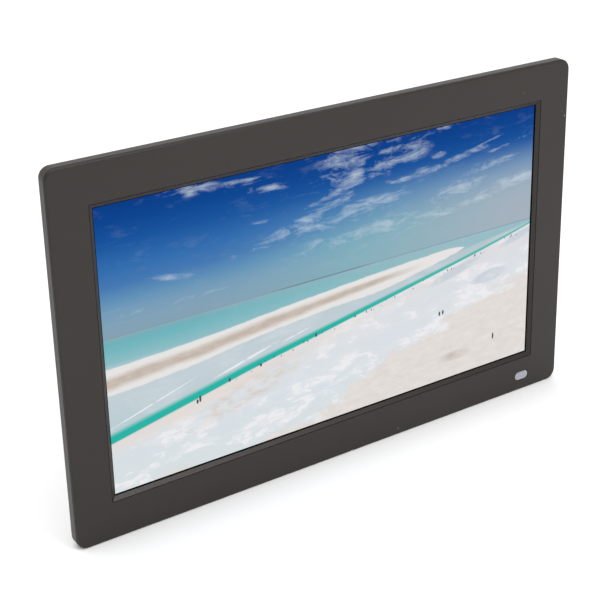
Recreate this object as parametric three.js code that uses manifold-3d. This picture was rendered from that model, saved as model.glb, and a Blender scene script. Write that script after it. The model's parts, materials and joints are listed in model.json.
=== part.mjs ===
// A 15.6-inch digital photo frame: front shell, display stack, boards, rear cover, keys and swing-out foot.
// Millimetres. The frame stands upright: X to the viewer's right, Y towards the back, Z up.
// The origin is the middle of the flat underside of the front shell, which rests on the table.
//
// Every piece is drawn in the panel's own frame, as if the panel lay on its back: x to the right,
// y up the panel, z out of the screen. Depths are counted from the front face towards the back,
// so a depth d lies at z = -d. The last group stands the whole panel up.
import * as THREE from "three";
import { mergeVertices } from "three/addons/utils/BufferGeometryUtils.js";
import Module from "manifold-3d";

const wasm = await Module();
wasm.setup();

// ---- Clearances -------------------------------------------------------------------------------
const FIT_GAP = 0.3; // between pieces that touch or are screwed together
const SHEET_GAP = 0.15; // between the sheets of the display stack
const PIN_PLAY = 0.15; // around the hinge pin, on the radius

// ---- Display ----------------------------------------------------------------------------------
const ACTIVE_WIDTH = 344.16; // lit area of a 15.6-inch 16:9 panel
const ACTIVE_HEIGHT = 193.59;
const BLACK_BORDER = 1.5; // unlit glass between the picture and the bezel's lip
const MODULE_SIDE = 7.7; // display module beyond the lit area, left and right
const MODULE_TOP = 5.7;
const MODULE_BOTTOM = 11.4;
const GLASS_DEPTH = 3.0; // front of the glass below the front face
const GLASS_THICKNESS = 1.2;
const GASKET_THICKNESS = 0.3;
const DIFFUSER_THICKNESS = 0.4;
const GUIDE_THICKNESS = 1.8;
const REFLECTOR_THICKNESS = 0.25;
const TRAY_SHEET = 0.6;
const LED_STRIP_HEIGHT = 2.4;
const LED_SHEET = 0.6; // thickness of the strip that carries the lamps
const LED_COUNT = 16;
const LED_WIDTH = 4;

// ---- Front shell ------------------------------------------------------------------------------
const BEZEL_SIDE = 26.32; // flat border beside the chamfered opening
const BEZEL_TOP = 27.1; // flat border above and below it
const CORNER_RADIUS = 8;
const EDGE_ROUND = 1.5;
const SKIRT_DEPTH = 8.4;
const SKIRT_WALL = 2.2;
const FACE_WALL = 2.4;
const CHAMFER_WIDTH = 2.6;
const CHAMFER_STEP = 0.35; // small drop where the chamfer starts
const LIP_DEPTH = 2.0; // where the chamfer ends
const GRIP_NOTCH_X = 9.8;
const GRIP_NOTCH_WIDTH = 4.6;
const GRIP_NOTCH_TIP = 1.4;
const GRIP_NOTCH_HEIGHT = 1.6;
const SIDE_SLOT_Y = 3;
const SIDE_SLOT_HEIGHT = 4;
const SIDE_SLOT_DEPTH = 1.8;

// ---- Remote-control window --------------------------------------------------------------------
const WINDOW_WIDTH = 12.4;
const WINDOW_HEIGHT = 6.6;
const WINDOW_FROM_SIDE = 34.5; // centre, from the right edge of the frame
const WINDOW_FROM_BOTTOM = 11.7;
const WINDOW_RECESS = 0.1; // the window's face below the front face
const WINDOW_FLANGE = 1.4;
const WINDOW_FLANGE_THICKNESS = 0.9;
const SENSOR_WIDTH = 6;
const SENSOR_HEIGHT = 5.4;
const SENSOR_THICKNESS = 3.2;
const SENSOR_BOARD_WIDTH = 20;
const SENSOR_BOARD_HEIGHT = 11;
const SENSOR_BOARD_SHEET = 0.8;

// ---- Rear cover -------------------------------------------------------------------------------
const RIM_INSET = 1.0; // the cover's rim sits this far inside the skirt's outline
const RIM_BACK = 11.5;
const RIM_WALL = 2.0;
const RIM_BAND = 5.5; // width of the full-thickness band along the rim
const RIM_ROUND = 0.8;
const TONGUE_WALL = 1.3;
const TONGUE_FRONT = 6.2; // the locating tongue reaches this depth inside the skirt
const COVER_WALL = 2.2;
const HOUSING_INSET = 16; // foot of the housing's slope, from the frame's outline
const HOUSING_SLOPE = 10; // how far the slope leans in on its way back
const HOUSING_CORNER = 16;
const VENT_COUNT = 14;
const VENT_PITCH = 6;
const VENT_WIDTH = 2;
const VENT_HEIGHT = 24;
const VENT_FROM_SIDE = 63; // first vent, from the left edge of the frame
const VENT_FROM_TOP = 44;
const KEYHOLE_SPACING = 180;
const KEYHOLE_FROM_TOP = 84;
const KEYHOLE_HEAD = 8.6; // round entry
const KEYHOLE_NECK = 4.4;
const KEYHOLE_RISE = 9; // from the entry's centre to the neck's end
const KEYHOLE_PAD_WIDTH = 24;
const KEYHOLE_PAD_HEIGHT = 34;
const KEYHOLE_PAD_RAISE = 1;

// ---- Screws -----------------------------------------------------------------------------------
const SCREW_HEAD_RADIUS = 2.7;
const SCREW_HEAD_HEIGHT = 1.5;
const SCREW_SHANK_RADIUS = 1.3;
const SCREW_LENGTH = 5;
const BOSS_WALL = 1.5; // plastic around a screw
const COVER_SCREW_INSET = 9; // from the frame's outline to the screws round the rim
const COVER_SCREW_SEAT = 9.7; // depth of the well floor under the heads
const COVER_BOSS_TOP = 8.1;

// ---- Display brackets -------------------------------------------------------------------------
const BRACKET_SHEET = 0.8;
const BRACKET_LENGTH = 150;
const BRACKET_HOOK = 8; // how far the hook reaches over the tray
const BRACKET_TAB = 9;
const BRACKET_SCREW_SPACING = 120;
const BRACKET_SEAT = 5.6; // depth of the tops of its bosses

// ---- Boards and sockets -----------------------------------------------------------------------
const BOARD_WIDTH = 100;
const BOARD_HEIGHT = 66;
const BOARD_SHEET = 1.6;
const BOARD_CLEAR = 7.15; // from the tray's back to the main board's front side
const SOCKET_HEADROOM = 0.65; // from the tallest socket to the inside of the cover
const BOARD_TO_WALL = 1.6; // from the board's edge to the inside of the socket wall
const POST_RADIUS = 2.6;
const POST_INSET = 5;
const CHIP_SIZE = 19;
const CHIP_THICKNESS = 1.4;
const SINK_SIZE = 24;
const SINK_BASE = 1.2;
const SINK_FIN = 0.9;
const SINK_HEIGHT = 5;
const SINK_FINS = 6;
const DC_JACK_HEIGHT = 8.4; // the tallest socket, which sets the depth of the housing
const PORT_LEDGE = 30.5; // from the frame's right edge to the socket wall
const PORT_LEDGE_MARGIN = 6;
const DRIVER_BOARD_HEIGHT = 12;
const DRIVER_BOARD_MARGIN = 22;
const DRIVER_BOARD_SHEET = 0.8;
const CABLE_WIDTH = 12;
const CABLE_SHEET = 0.4;
const CABLE_FROM_BOARD_EDGE = 12;

// ---- Keys -------------------------------------------------------------------------------------
const KEY_NAMES = ["power", "menu", "left", "up", "down", "right", "ok"];
const KEY_PITCH = 14;
const KEY_RADIUS = 4;
const KEY_FLANGE_RADIUS = 5.4;
const KEY_FLANGE_THICKNESS = 1;
const KEY_STEM_RADIUS = 1.5;
const KEY_STEM_LENGTH = 1;
const KEY_PROUD = 0.8;
const KEY_TRAVEL = 0.5;
const KEY_FROM_SIDE = 56.5; // last key, from the right edge of the frame
const KEY_FROM_TOP = 42;
const SWITCH_SIZE = 6;
const SWITCH_HEIGHT = 2.6;
const SWITCH_PLUNGER_RADIUS = 1.7;
const SWITCH_PLUNGER_HEIGHT = 0.5;
const KEY_BOARD_HEIGHT = 15;
const KEY_BOARD_MARGIN = 12;

// ---- Speakers ---------------------------------------------------------------------------------
const SPEAKER_RADIUS = 17;
const SPEAKER_FROM_BOTTOM = 52;
const SPEAKER_RIM = 1.4;
const SPEAKER_BASKET = 5.5;
const SPEAKER_MAGNET_RADIUS = 8;
const SPEAKER_MAGNET_HEIGHT = 4;
const GRILLE_SLOTS = 5;
const GRILLE_PITCH = 5;
const GRILLE_SLOT_WIDTH = 1.8;
const GRILLE_SLOT_LENGTH = 26;

// ---- Swing-out foot ---------------------------------------------------------------------------
const LEG_REACH = 92; // from the hinge pin to the tip
const LEG_THICKNESS = 7;
const LEG_TIP_HEIGHT = 22;
const LEG_ARCH = 6; // underside of the leg above the table
const LEG_HEEL = 6.4; // from the pin to the start of the blade
const BARREL_SWELL = 1; // the barrel's radius beyond half the leg's thickness
const BARREL_LENGTH = 56;
const PIN_RADIUS = 2;
const PIN_HEAD_RADIUS = 3.2;
const PIN_HEAD_HEIGHT = 1;
const HINGE_LOW = 22; // underside of the lower ear above the table
const EAR_HEIGHT = 7;
const RECESS_PLAY = 1.5; // between the folded leg and the recess's floor, and the same at its open side
const RECESS_BESIDE = 34; // recess on the bracket's side of the pin
const FINGER_GAP = 14; // room past the tip for a fingertip
const RECESS_ABOVE = 5; // room above the bracket
const BRACKET_PLATE = 2;
const BRACKET_PLATE_WIDTH = 24;
const BRACKET_WEB = 5;
const STAND_SCREW_SPACING = 44;
const STAND_BOSS_LENGTH = 7;
const PAD_LENGTH = 22;
const PAD_THICKNESS = 2.5;
const PAD_FROM_TIP = 3;

// ---- Sizes that follow ------------------------------------------------------------------------
const LIP_WIDTH = ACTIVE_WIDTH + 2 * BLACK_BORDER;
const LIP_HEIGHT = ACTIVE_HEIGHT + 2 * BLACK_BORDER;
const OPENING_WIDTH = LIP_WIDTH + 2 * CHAMFER_WIDTH;
const OPENING_HEIGHT = LIP_HEIGHT + 2 * CHAMFER_WIDTH;
const FRAME_WIDTH = OPENING_WIDTH + 2 * BEZEL_SIDE;
const FRAME_HEIGHT = OPENING_HEIGHT + 2 * BEZEL_TOP;
const HALF_WIDTH = FRAME_WIDTH / 2;
const HALF_HEIGHT = FRAME_HEIGHT / 2;
const WINDOW_X = HALF_WIDTH - WINDOW_FROM_SIDE;
const WINDOW_Y = WINDOW_FROM_BOTTOM - HALF_HEIGHT;
const MODULE_WIDTH = ACTIVE_WIDTH + 2 * MODULE_SIDE;
const MODULE_HEIGHT = ACTIVE_HEIGHT + MODULE_TOP + MODULE_BOTTOM;
const MODULE_Y = (MODULE_TOP - MODULE_BOTTOM) / 2;
const SHEETS_WIDTH = MODULE_WIDTH - 2 * (TRAY_SHEET + FIT_GAP);
const SHEETS_HEIGHT = MODULE_HEIGHT - 2 * (TRAY_SHEET + FIT_GAP);
const DIFFUSER_DEPTH = GLASS_DEPTH + GLASS_THICKNESS + SHEET_GAP;
const GUIDE_DEPTH = DIFFUSER_DEPTH + DIFFUSER_THICKNESS + SHEET_GAP;
const REFLECTOR_DEPTH = GUIDE_DEPTH + GUIDE_THICKNESS + SHEET_GAP;
const TRAY_DEPTH = REFLECTOR_DEPTH + REFLECTOR_THICKNESS + SHEET_GAP;
const TRAY_BACK = TRAY_DEPTH + TRAY_SHEET;
const BOARD_FRONT = TRAY_BACK + BOARD_CLEAR;
const BOARD_BACK = BOARD_FRONT + BOARD_SHEET;
const COVER_INSIDE = BOARD_BACK + SHEET_GAP + DC_JACK_HEIGHT + SOCKET_HEADROOM;
const COVER_DEPTH = COVER_INSIDE + COVER_WALL;
const SLOPE_RATE = HOUSING_SLOPE / (COVER_DEPTH - RIM_BACK);
const SLOPE_WALL = COVER_WALL * Math.hypot(1, SLOPE_RATE); // the slope's wall, measured level
const PORT_WALL_X = HALF_WIDTH - PORT_LEDGE;
const BARREL_RADIUS = LEG_THICKNESS / 2 + BARREL_SWELL;
const HINGE_DEPTH = COVER_DEPTH - RECESS_PLAY - LEG_THICKNESS / 2;
const RECESS_FLOOR = HINGE_DEPTH - LEG_THICKNESS / 2 - RECESS_PLAY;
const HINGE_HIGH = HINGE_LOW + 2 * EAR_HEIGHT + BARREL_LENGTH + 2 * FIT_GAP;
const RECESS_TOP = HINGE_HIGH + RECESS_ABOVE - HALF_HEIGHT;
const RECESS_RIGHT = LEG_REACH + FINGER_GAP;
const BOARD_RIGHT = PORT_WALL_X - COVER_WALL - BOARD_TO_WALL;
const BOARD_X = BOARD_RIGHT - BOARD_WIDTH / 2;
const BOARD_BOTTOM = RECESS_TOP + COVER_WALL + 3;
const BOARD_Y = BOARD_BOTTOM + BOARD_HEIGHT / 2;
const KEY_Y = HALF_HEIGHT - KEY_FROM_TOP;
const KEY_LAST_X = HALF_WIDTH - KEY_FROM_SIDE;
const KEY_ROW = (KEY_NAMES.length - 1) * KEY_PITCH;
const KEY_BASE = COVER_INSIDE - FIT_GAP - KEY_FLANGE_THICKNESS; // front side of a key's flange
const SWITCH_TOP = KEY_BASE - KEY_STEM_LENGTH - KEY_TRAVEL - SHEET_GAP;
const KEY_BOARD_BACK = SWITCH_TOP - SWITCH_PLUNGER_HEIGHT - SWITCH_HEIGHT - SHEET_GAP;
const SPEAKER_BACK = COVER_INSIDE - FIT_GAP;

// ---- Materials --------------------------------------------------------------------------------
const finish = (color, roughness, metalness = 0) =>
  new THREE.MeshStandardMaterial({ color, roughness, metalness });
const MATERIAL = {
  shell: finish(0x45423f, 0.5),
  cover: finish(0x2b2a29, 0.6),
  window: finish(0xa9adb2, 0.35),
  glass: finish(0x101418, 0.12),
  sheet: finish(0xe8eaec, 0.5),
  guide: finish(0xdfe6ea, 0.1),
  foam: finish(0x1b1b1c, 0.95),
  aluminium: finish(0xb4b7ba, 0.4, 1),
  steel: finish(0x9a9da0, 0.35, 1),
  zinc: finish(0xc4c2b8, 0.35, 1),
  board: finish(0x1d4d33, 0.45),
  chip: finish(0x17181a, 0.5),
  socket: finish(0x202123, 0.5),
  ribbon: finish(0xd8d6cf, 0.6),
  key: finish(0x343231, 0.5),
  speaker: finish(0x1e1e1f, 0.7),
  rubber: finish(0x161616, 0.9),
};

// ---- Drawing helpers --------------------------------------------------------------------------

// A closed three.js geometry as a solid that can be joined and cut.
function solid(geometry) {
  const bare = geometry.clone();
  bare.deleteAttribute("normal");
  bare.deleteAttribute("uv");
  const merged = mergeVertices(bare, 1e-4);
  const mesh = new wasm.Mesh({
    numProp: 3,
    vertProperties: merged.attributes.position.array,
    triVerts: new Uint32Array(merged.index.array),
  });
  return new wasm.Manifold(mesh);
}

const join = (...solids) => solids.reduce((sum, next) => sum.add(next));
const cut = (body, ...tools) => body.subtract(join(...tools));

// A block between two depths.
function block(width, height, front, back, x = 0, y = 0) {
  return solid(new THREE.BoxGeometry(width, height, back - front).translate(x, y, -(front + back) / 2));
}

// A block given by its two corners in x, y and depth.
function blockFrom([x0, y0, front], [x1, y1, back]) {
  return block(x1 - x0, y1 - y0, front, back, (x0 + x1) / 2, (y0 + y1) / 2);
}

function roundedRect(width, height, radius, x = 0, y = 0) {
  const [right, top] = [width / 2 - radius, height / 2 - radius];
  const shape = new THREE.Shape();
  shape.absarc(x + right, y + top, radius, 0, Math.PI / 2);
  shape.absarc(x - right, y + top, radius, Math.PI / 2, Math.PI);
  shape.absarc(x - right, y - top, radius, Math.PI, Math.PI * 1.5);
  shape.absarc(x + right, y - top, radius, Math.PI * 1.5, Math.PI * 2);
  return shape;
}

function rectangle(width, height) {
  const [x, y] = [width / 2, height / 2];
  return polygon([-x, -y], [x, -y], [x, y], [-x, y]);
}

function polygon(...points) {
  return new THREE.Shape(points.map(([x, y]) => new THREE.Vector2(x, y)));
}

// A flat outline given thickness between two depths.
function slab(shape, front, back, curveSegments = 3) {
  const options = { depth: back - front, bevelEnabled: false, curveSegments };
  return solid(new THREE.ExtrudeGeometry(shape, options).translate(0, 0, -back));
}

// A slab whose outline is `shape` at the wide depth and `run` smaller all round at the narrow depth.
// With one step the flank is a straight slope; more steps round it. The full outline runs on
// for a little past the wide depth, so that the slab joins what it stands on.
function flared(shape, wide, narrow, run, steps = 1, curveSegments = 3) {
  const rise = Math.abs(narrow - wide);
  const stub = 1;
  const options = {
    depth: stub,
    bevelThickness: rise,
    bevelSize: run,
    bevelOffset: -run,
    bevelSegments: steps,
    curveSegments,
  };
  const narrowInFront = narrow < wide;
  const geometry = new THREE.ExtrudeGeometry(shape, options);
  geometry.translate(0, 0, narrowInFront ? -wide - stub : -wide);
  const size = 2 * (FRAME_WIDTH + FRAME_HEIGHT);
  const root = wide + (narrowInFront ? stub : -stub) / 2;
  const beyond = narrowInFront ? block(size, size, root, root + size) : block(size, size, root - size, root);
  return cut(solid(geometry), beyond);
}

// A cylinder along the depth.
function disc(radius, front, back, x = 0, y = 0, segments = 20) {
  const geometry = new THREE.CylinderGeometry(radius, radius, back - front, segments);
  return solid(geometry.rotateX(Math.PI / 2).translate(x, y, -(front + back) / 2));
}

// A cylinder along y, at a depth.
function rod(radius, low, high, x, depth, segments = 24) {
  const geometry = new THREE.CylinderGeometry(radius, radius, high - low, segments);
  return solid(geometry.translate(x, (low + high) / 2, -depth));
}

// A cylinder along x, at a depth.
function tube(radius, left, right, y, depth, segments = 20) {
  const geometry = new THREE.CylinderGeometry(radius, radius, right - left, segments);
  return solid(geometry.rotateZ(Math.PI / 2).translate((left + right) / 2, y, -depth));
}

// A turned body about the depth axis: the profile holds [radius, depth] pairs and starts and ends
// on the axis.
function turned(profile, segments = 16) {
  const points = profile.map(([radius, depth]) => new THREE.Vector2(radius, depth));
  return solid(new THREE.LatheGeometry(points, segments).rotateX(-Math.PI / 2));
}

const panel = new THREE.Group();

// Puts a solid in the model as a named mesh.
function place(name, body, material, x = 0, y = 0, depth = 0) {
  const { vertProperties, triVerts } = body.getMesh();
  const geometry = new THREE.BufferGeometry();
  geometry.setAttribute("position", new THREE.BufferAttribute(vertProperties, 3));
  geometry.setIndex(new THREE.BufferAttribute(triVerts, 1));
  geometry.computeVertexNormals();
  const mesh = new THREE.Mesh(geometry, material);
  mesh.name = name;
  mesh.position.set(x, y, -depth);
  panel.add(mesh);
}

// ---- Front shell ------------------------------------------------------------------------------

// Where a ring of screws sits round the rim: four corners and the middles of the long sides.
const COVER_SCREWS = [
  ["top_left", -1, 1],
  ["top_middle", 0, 1],
  ["top_right", 1, 1],
  ["bottom_left", -1, -1],
  ["bottom_middle", 0, -1],
  ["bottom_right", 1, -1],
].map(([name, x, y]) => ({
  name,
  x: x * (HALF_WIDTH - COVER_SCREW_INSET),
  y: y * (HALF_HEIGHT - COVER_SCREW_INSET),
}));

const HOLE_RADIUS = SCREW_SHANK_RADIUS + FIT_GAP;
const BOSS_RADIUS = HOLE_RADIUS + BOSS_WALL;
const BRACKET_EDGE = MODULE_WIDTH / 2 + FIT_GAP; // inner side of a bracket's riser
const BRACKET_SCREW_X = BRACKET_EDGE + BRACKET_SHEET + BRACKET_TAB / 2;
const BRACKET_SCREWS = [
  ["left_upper", -1, 1],
  ["left_lower", -1, -1],
  ["right_upper", 1, 1],
  ["right_lower", 1, -1],
].map(([name, x, y]) => ({ name, x: x * BRACKET_SCREW_X, y: (y * BRACKET_SCREW_SPACING) / 2 }));

function stadium(width, height, x = 0, y = 0) {
  return roundedRect(width, height, height / 2, x, y);
}

function frontBezel() {
  const outline = roundedRect(FRAME_WIDTH, FRAME_HEIGHT, CORNER_RADIUS);
  const inside = roundedRect(
    FRAME_WIDTH - 2 * SKIRT_WALL,
    FRAME_HEIGHT - 2 * SKIRT_WALL,
    CORNER_RADIUS - SKIRT_WALL,
  );
  const shell = cut(
    join(flared(outline, EDGE_ROUND, 0, EDGE_ROUND, 3), slab(outline, EDGE_ROUND, SKIRT_DEPTH)),
    slab(inside, FACE_WALL, SKIRT_DEPTH + 1),
  );
  const bosses = [
    ...BRACKET_SCREWS.map(({ x, y }) => disc(BOSS_RADIUS, FACE_WALL - 0.5, BRACKET_SEAT - FIT_GAP, x, y)),
    ...COVER_SCREWS.map(({ x, y }) => disc(BOSS_RADIUS, FACE_WALL - 0.5, COVER_BOSS_TOP, x, y)),
  ];
  const pilots = [...BRACKET_SCREWS, ...COVER_SCREWS].map(({ x, y }) =>
    disc(HOLE_RADIUS, FACE_WALL + 0.2, SKIRT_DEPTH + 1, x, y, 12),
  );
  const step = block(OPENING_WIDTH, OPENING_HEIGHT, -1, CHAMFER_STEP);
  const chamfer = flared(rectangle(OPENING_WIDTH, OPENING_HEIGHT), CHAMFER_STEP, LIP_DEPTH, CHAMFER_WIDTH);
  const lip = block(LIP_WIDTH, LIP_HEIGHT, -1, FACE_WALL + 1);
  const window = slab(
    stadium(WINDOW_WIDTH + 2 * FIT_GAP, WINDOW_HEIGHT + 2 * FIT_GAP, WINDOW_X, WINDOW_Y),
    -1,
    FACE_WALL + 1,
  );
  return cut(join(shell, ...bosses), ...pilots, step, chamfer, lip, window, gripNotch(), ...sideSlots());
}

// A small notch in the lower edge, for a fingernail.
function gripNotch() {
  const base = -HALF_HEIGHT;
  const shape = polygon(
    [GRIP_NOTCH_X - GRIP_NOTCH_WIDTH / 2, base - 1],
    [GRIP_NOTCH_X + GRIP_NOTCH_WIDTH / 2, base - 1],
    [GRIP_NOTCH_X + GRIP_NOTCH_WIDTH / 2, base],
    [GRIP_NOTCH_X + GRIP_NOTCH_TIP / 2, base + GRIP_NOTCH_HEIGHT],
    [GRIP_NOTCH_X - GRIP_NOTCH_TIP / 2, base + GRIP_NOTCH_HEIGHT],
    [GRIP_NOTCH_X - GRIP_NOTCH_WIDTH / 2, base],
  );
  return slab(shape, -1, SKIRT_DEPTH + 1);
}

// A prising slot in the back edge of each side wall.
function sideSlots() {
  return [-1, 1].map((side) =>
    block(
      2 * SKIRT_WALL + 1,
      SIDE_SLOT_HEIGHT,
      SKIRT_DEPTH - SIDE_SLOT_DEPTH,
      SKIRT_DEPTH + 1,
      side * HALF_WIDTH,
      SIDE_SLOT_Y,
    ),
  );
}

place("front_bezel", frontBezel(), MATERIAL.shell);

// ---- Remote-control window and sensor ---------------------------------------------------------

const FLANGE_FRONT = FACE_WALL + FIT_GAP;
const FLANGE_BACK = FLANGE_FRONT + WINDOW_FLANGE_THICKNESS;

place(
  "sensor_window",
  join(
    slab(stadium(WINDOW_WIDTH, WINDOW_HEIGHT), WINDOW_RECESS, FLANGE_BACK),
    slab(
      stadium(WINDOW_WIDTH + 2 * WINDOW_FLANGE, WINDOW_HEIGHT + 2 * WINDOW_FLANGE),
      FLANGE_FRONT,
      FLANGE_BACK,
    ),
  ),
  MATERIAL.window,
  WINDOW_X,
  WINDOW_Y,
);

const SENSOR_FRONT = FLANGE_BACK + FIT_GAP;
const SENSOR_BACK = SENSOR_FRONT + SENSOR_THICKNESS;

// The receiver's block with its half-round lens facing the window.
function irReceiver() {
  const base = block(SENSOR_WIDTH, SENSOR_HEIGHT, SENSOR_FRONT + 1, SENSOR_BACK);
  const lensRadius = SENSOR_WIDTH / 2 - 0.6;
  const lensEnd = SENSOR_HEIGHT / 2 - 1;
  const lens = rod(lensRadius, -lensEnd, lensEnd, 0, SENSOR_FRONT + lensRadius, 16);
  return join(base, cut(lens, block(SENSOR_WIDTH, SENSOR_HEIGHT, SENSOR_BACK, SENSOR_BACK + 2)));
}

place("ir_receiver", irReceiver(), MATERIAL.chip, WINDOW_X, WINDOW_Y);
place(
  "sensor_board",
  block(
    SENSOR_BOARD_WIDTH,
    SENSOR_BOARD_HEIGHT,
    SENSOR_BACK + SHEET_GAP,
    SENSOR_BACK + SHEET_GAP + SENSOR_BOARD_SHEET,
  ),
  MATERIAL.board,
  WINDOW_X,
  WINDOW_Y,
);

// ---- Display stack ----------------------------------------------------------------------------

const sheet = (front, thickness, spare = 0) =>
  block(SHEETS_WIDTH - 2 * spare, SHEETS_HEIGHT - 2 * spare, front, front + thickness, 0, MODULE_Y);

// A thin foam ring between the bezel's lip and the glass.
function gasket() {
  const front = (FACE_WALL + GLASS_DEPTH - GASKET_THICKNESS) / 2;
  const ring = sheet(front, GASKET_THICKNESS, 1);
  return cut(ring, block(LIP_WIDTH + 1, LIP_HEIGHT + 1, front - 1, front + 2));
}

// The folded metal tray that holds the sheets.
function panelTray() {
  const front = GLASS_DEPTH + GLASS_THICKNESS / 2;
  return cut(
    block(MODULE_WIDTH, MODULE_HEIGHT, front, TRAY_BACK, 0, MODULE_Y),
    block(MODULE_WIDTH - 2 * TRAY_SHEET, MODULE_HEIGHT - 2 * TRAY_SHEET, front - 1, TRAY_DEPTH, 0, MODULE_Y),
  );
}

const GUIDE_LOW = MODULE_Y - SHEETS_HEIGHT / 2 + LED_STRIP_HEIGHT + FIT_GAP;
const GUIDE_HIGH = MODULE_Y + SHEETS_HEIGHT / 2;

// The strip of lamps that lights the lower edge of the light guide.
function ledStrip() {
  const low = MODULE_Y - SHEETS_HEIGHT / 2;
  const strip = blockFrom(
    [-SHEETS_WIDTH / 2, low, GUIDE_DEPTH],
    [SHEETS_WIDTH / 2, low + LED_SHEET, GUIDE_DEPTH + GUIDE_THICKNESS],
  );
  const pitch = SHEETS_WIDTH / LED_COUNT;
  const lamps = Array.from({ length: LED_COUNT }, (_, i) => {
    const x = (i + 0.5) * pitch - SHEETS_WIDTH / 2;
    return blockFrom(
      [x - LED_WIDTH / 2, low + LED_SHEET / 2, GUIDE_DEPTH + 0.3],
      [x + LED_WIDTH / 2, low + LED_STRIP_HEIGHT, GUIDE_DEPTH + GUIDE_THICKNESS - 0.3],
    );
  });
  return join(strip, ...lamps);
}

place("foam_gasket", gasket(), MATERIAL.foam);
place("lcd_glass", sheet(GLASS_DEPTH, GLASS_THICKNESS), MATERIAL.glass);
place("diffuser_sheet", sheet(DIFFUSER_DEPTH, DIFFUSER_THICKNESS), MATERIAL.sheet);
place(
  "light_guide",
  blockFrom(
    [-SHEETS_WIDTH / 2, GUIDE_LOW, GUIDE_DEPTH],
    [SHEETS_WIDTH / 2, GUIDE_HIGH, GUIDE_DEPTH + GUIDE_THICKNESS],
  ),
  MATERIAL.guide,
);
place("led_strip", ledStrip(), MATERIAL.sheet);
place("reflector_sheet", sheet(REFLECTOR_DEPTH, REFLECTOR_THICKNESS), MATERIAL.sheet);
place("panel_tray", panelTray(), MATERIAL.aluminium);

// ---- Display brackets -------------------------------------------------------------------------

// A folded strip: a tab on the shell's bosses, a riser beside the tray and a hook over its back.
function panelBracket(side) {
  const y0 = -BRACKET_LENGTH / 2;
  const y1 = BRACKET_LENGTH / 2;
  const hookFront = TRAY_BACK + FIT_GAP;
  const hookBack = hookFront + BRACKET_SHEET;
  const inner = BRACKET_EDGE;
  const outer = inner + BRACKET_SHEET;
  const sheets = [
    [inner, outer + BRACKET_TAB, BRACKET_SEAT, BRACKET_SEAT + BRACKET_SHEET],
    [inner, outer, BRACKET_SEAT, hookBack],
    [inner - BRACKET_HOOK, outer, hookFront, hookBack],
  ].map(([x0, x1, front, back]) =>
    block(x1 - x0, y1 - y0, front, back, (side * (x0 + x1)) / 2),
  );
  const holes = BRACKET_SCREWS.filter(({ x }) => Math.sign(x) === side).map(({ x, y }) =>
    disc(HOLE_RADIUS, BRACKET_SEAT - 1, BRACKET_SEAT + 2, x, y, 12),
  );
  return cut(join(...sheets), ...holes);
}

place("panel_bracket_left", panelBracket(-1), MATERIAL.steel);
place("panel_bracket_right", panelBracket(1), MATERIAL.steel);

// ---- Screws -----------------------------------------------------------------------------------

// A pan-head screw with a cross recess: underside of the head at depth 0, shank towards the front.
function screw(length) {
  const head = disc(SCREW_HEAD_RADIUS, 0, SCREW_HEAD_HEIGHT, 0, 0, 16);
  const shank = disc(SCREW_SHANK_RADIUS, -length, 0.2, 0, 0, 10);
  const recess = [
    [3, 0.7],
    [0.7, 3],
  ].map(([width, height]) => block(width, height, SCREW_HEAD_HEIGHT - 0.8, SCREW_HEAD_HEIGHT + 1));
  return cut(join(head, shank), ...recess);
}

for (const { name, x, y } of BRACKET_SCREWS) {
  const seat = BRACKET_SEAT + BRACKET_SHEET + FIT_GAP;
  place(`bracket_screw_${name}`, screw(seat - FACE_WALL - 2 * FIT_GAP), MATERIAL.zinc, x, y, seat);
}
for (const { name, x, y } of COVER_SCREWS) {
  place(`cover_screw_${name}`, screw(SCREW_LENGTH), MATERIAL.zinc, x, y, COVER_SCREW_SEAT + FIT_GAP);
}

// ---- Rear cover -------------------------------------------------------------------------------

const RIM_WIDTH = FRAME_WIDTH - 2 * RIM_INSET;
const RIM_HEIGHT = FRAME_HEIGHT - 2 * RIM_INSET;
const RIM_CORNER = CORNER_RADIUS - RIM_INSET;
const RIM_FRONT = SKIRT_DEPTH + FIT_GAP;
const PLATE_INSIDE = RIM_BACK - RIM_WALL;

// The housing behind the rim: sloping flanks and a flat back, `shrink` smaller all round.
function housing(shrink, front, back) {
  const spread = 2 * (SLOPE_RATE * (front - RIM_BACK) + HOUSING_INSET + shrink);
  const shape = roundedRect(FRAME_WIDTH - spread, FRAME_HEIGHT - spread, HOUSING_CORNER - shrink);
  return flared(shape, front, back, SLOPE_RATE * (back - front));
}

// The recess that the leg folds into, `wall` larger all round.
function legRecess(wall) {
  return blockFrom(
    [-RECESS_BESIDE - wall, -HALF_HEIGHT, RECESS_FLOOR - wall],
    [RECESS_RIGHT + wall, RECESS_TOP + wall, COVER_DEPTH + 5],
  );
}

// The ledge beside the socket wall, `wall` larger all round.
function portLedge(wall, floor) {
  return blockFrom(
    [PORT_WALL_X - wall, BOARD_BOTTOM - PORT_LEDGE_MARGIN - wall, floor],
    [HALF_WIDTH + 5, BOARD_BOTTOM + BOARD_HEIGHT + PORT_LEDGE_MARGIN + wall, COVER_DEPTH + 5],
  );
}

// A ring that locates the cover inside the skirt, with room round the shell's screw bosses.
function tongue() {
  const width = FRAME_WIDTH - 2 * (SKIRT_WALL + FIT_GAP);
  const height = FRAME_HEIGHT - 2 * (SKIRT_WALL + FIT_GAP);
  const radius = CORNER_RADIUS - SKIRT_WALL - FIT_GAP;
  const inner = roundedRect(width - 2 * TONGUE_WALL, height - 2 * TONGUE_WALL, radius - TONGUE_WALL);
  const room = COVER_SCREWS.map(({ x, y }) =>
    disc(BOSS_RADIUS + FIT_GAP, TONGUE_FRONT - 1, RIM_FRONT - 0.1, x, y),
  );
  return cut(
    slab(roundedRect(width, height, radius), TONGUE_FRONT, RIM_FRONT + 0.2),
    slab(inner, TONGUE_FRONT - 1, RIM_FRONT + 1),
    ...room,
  );
}

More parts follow.
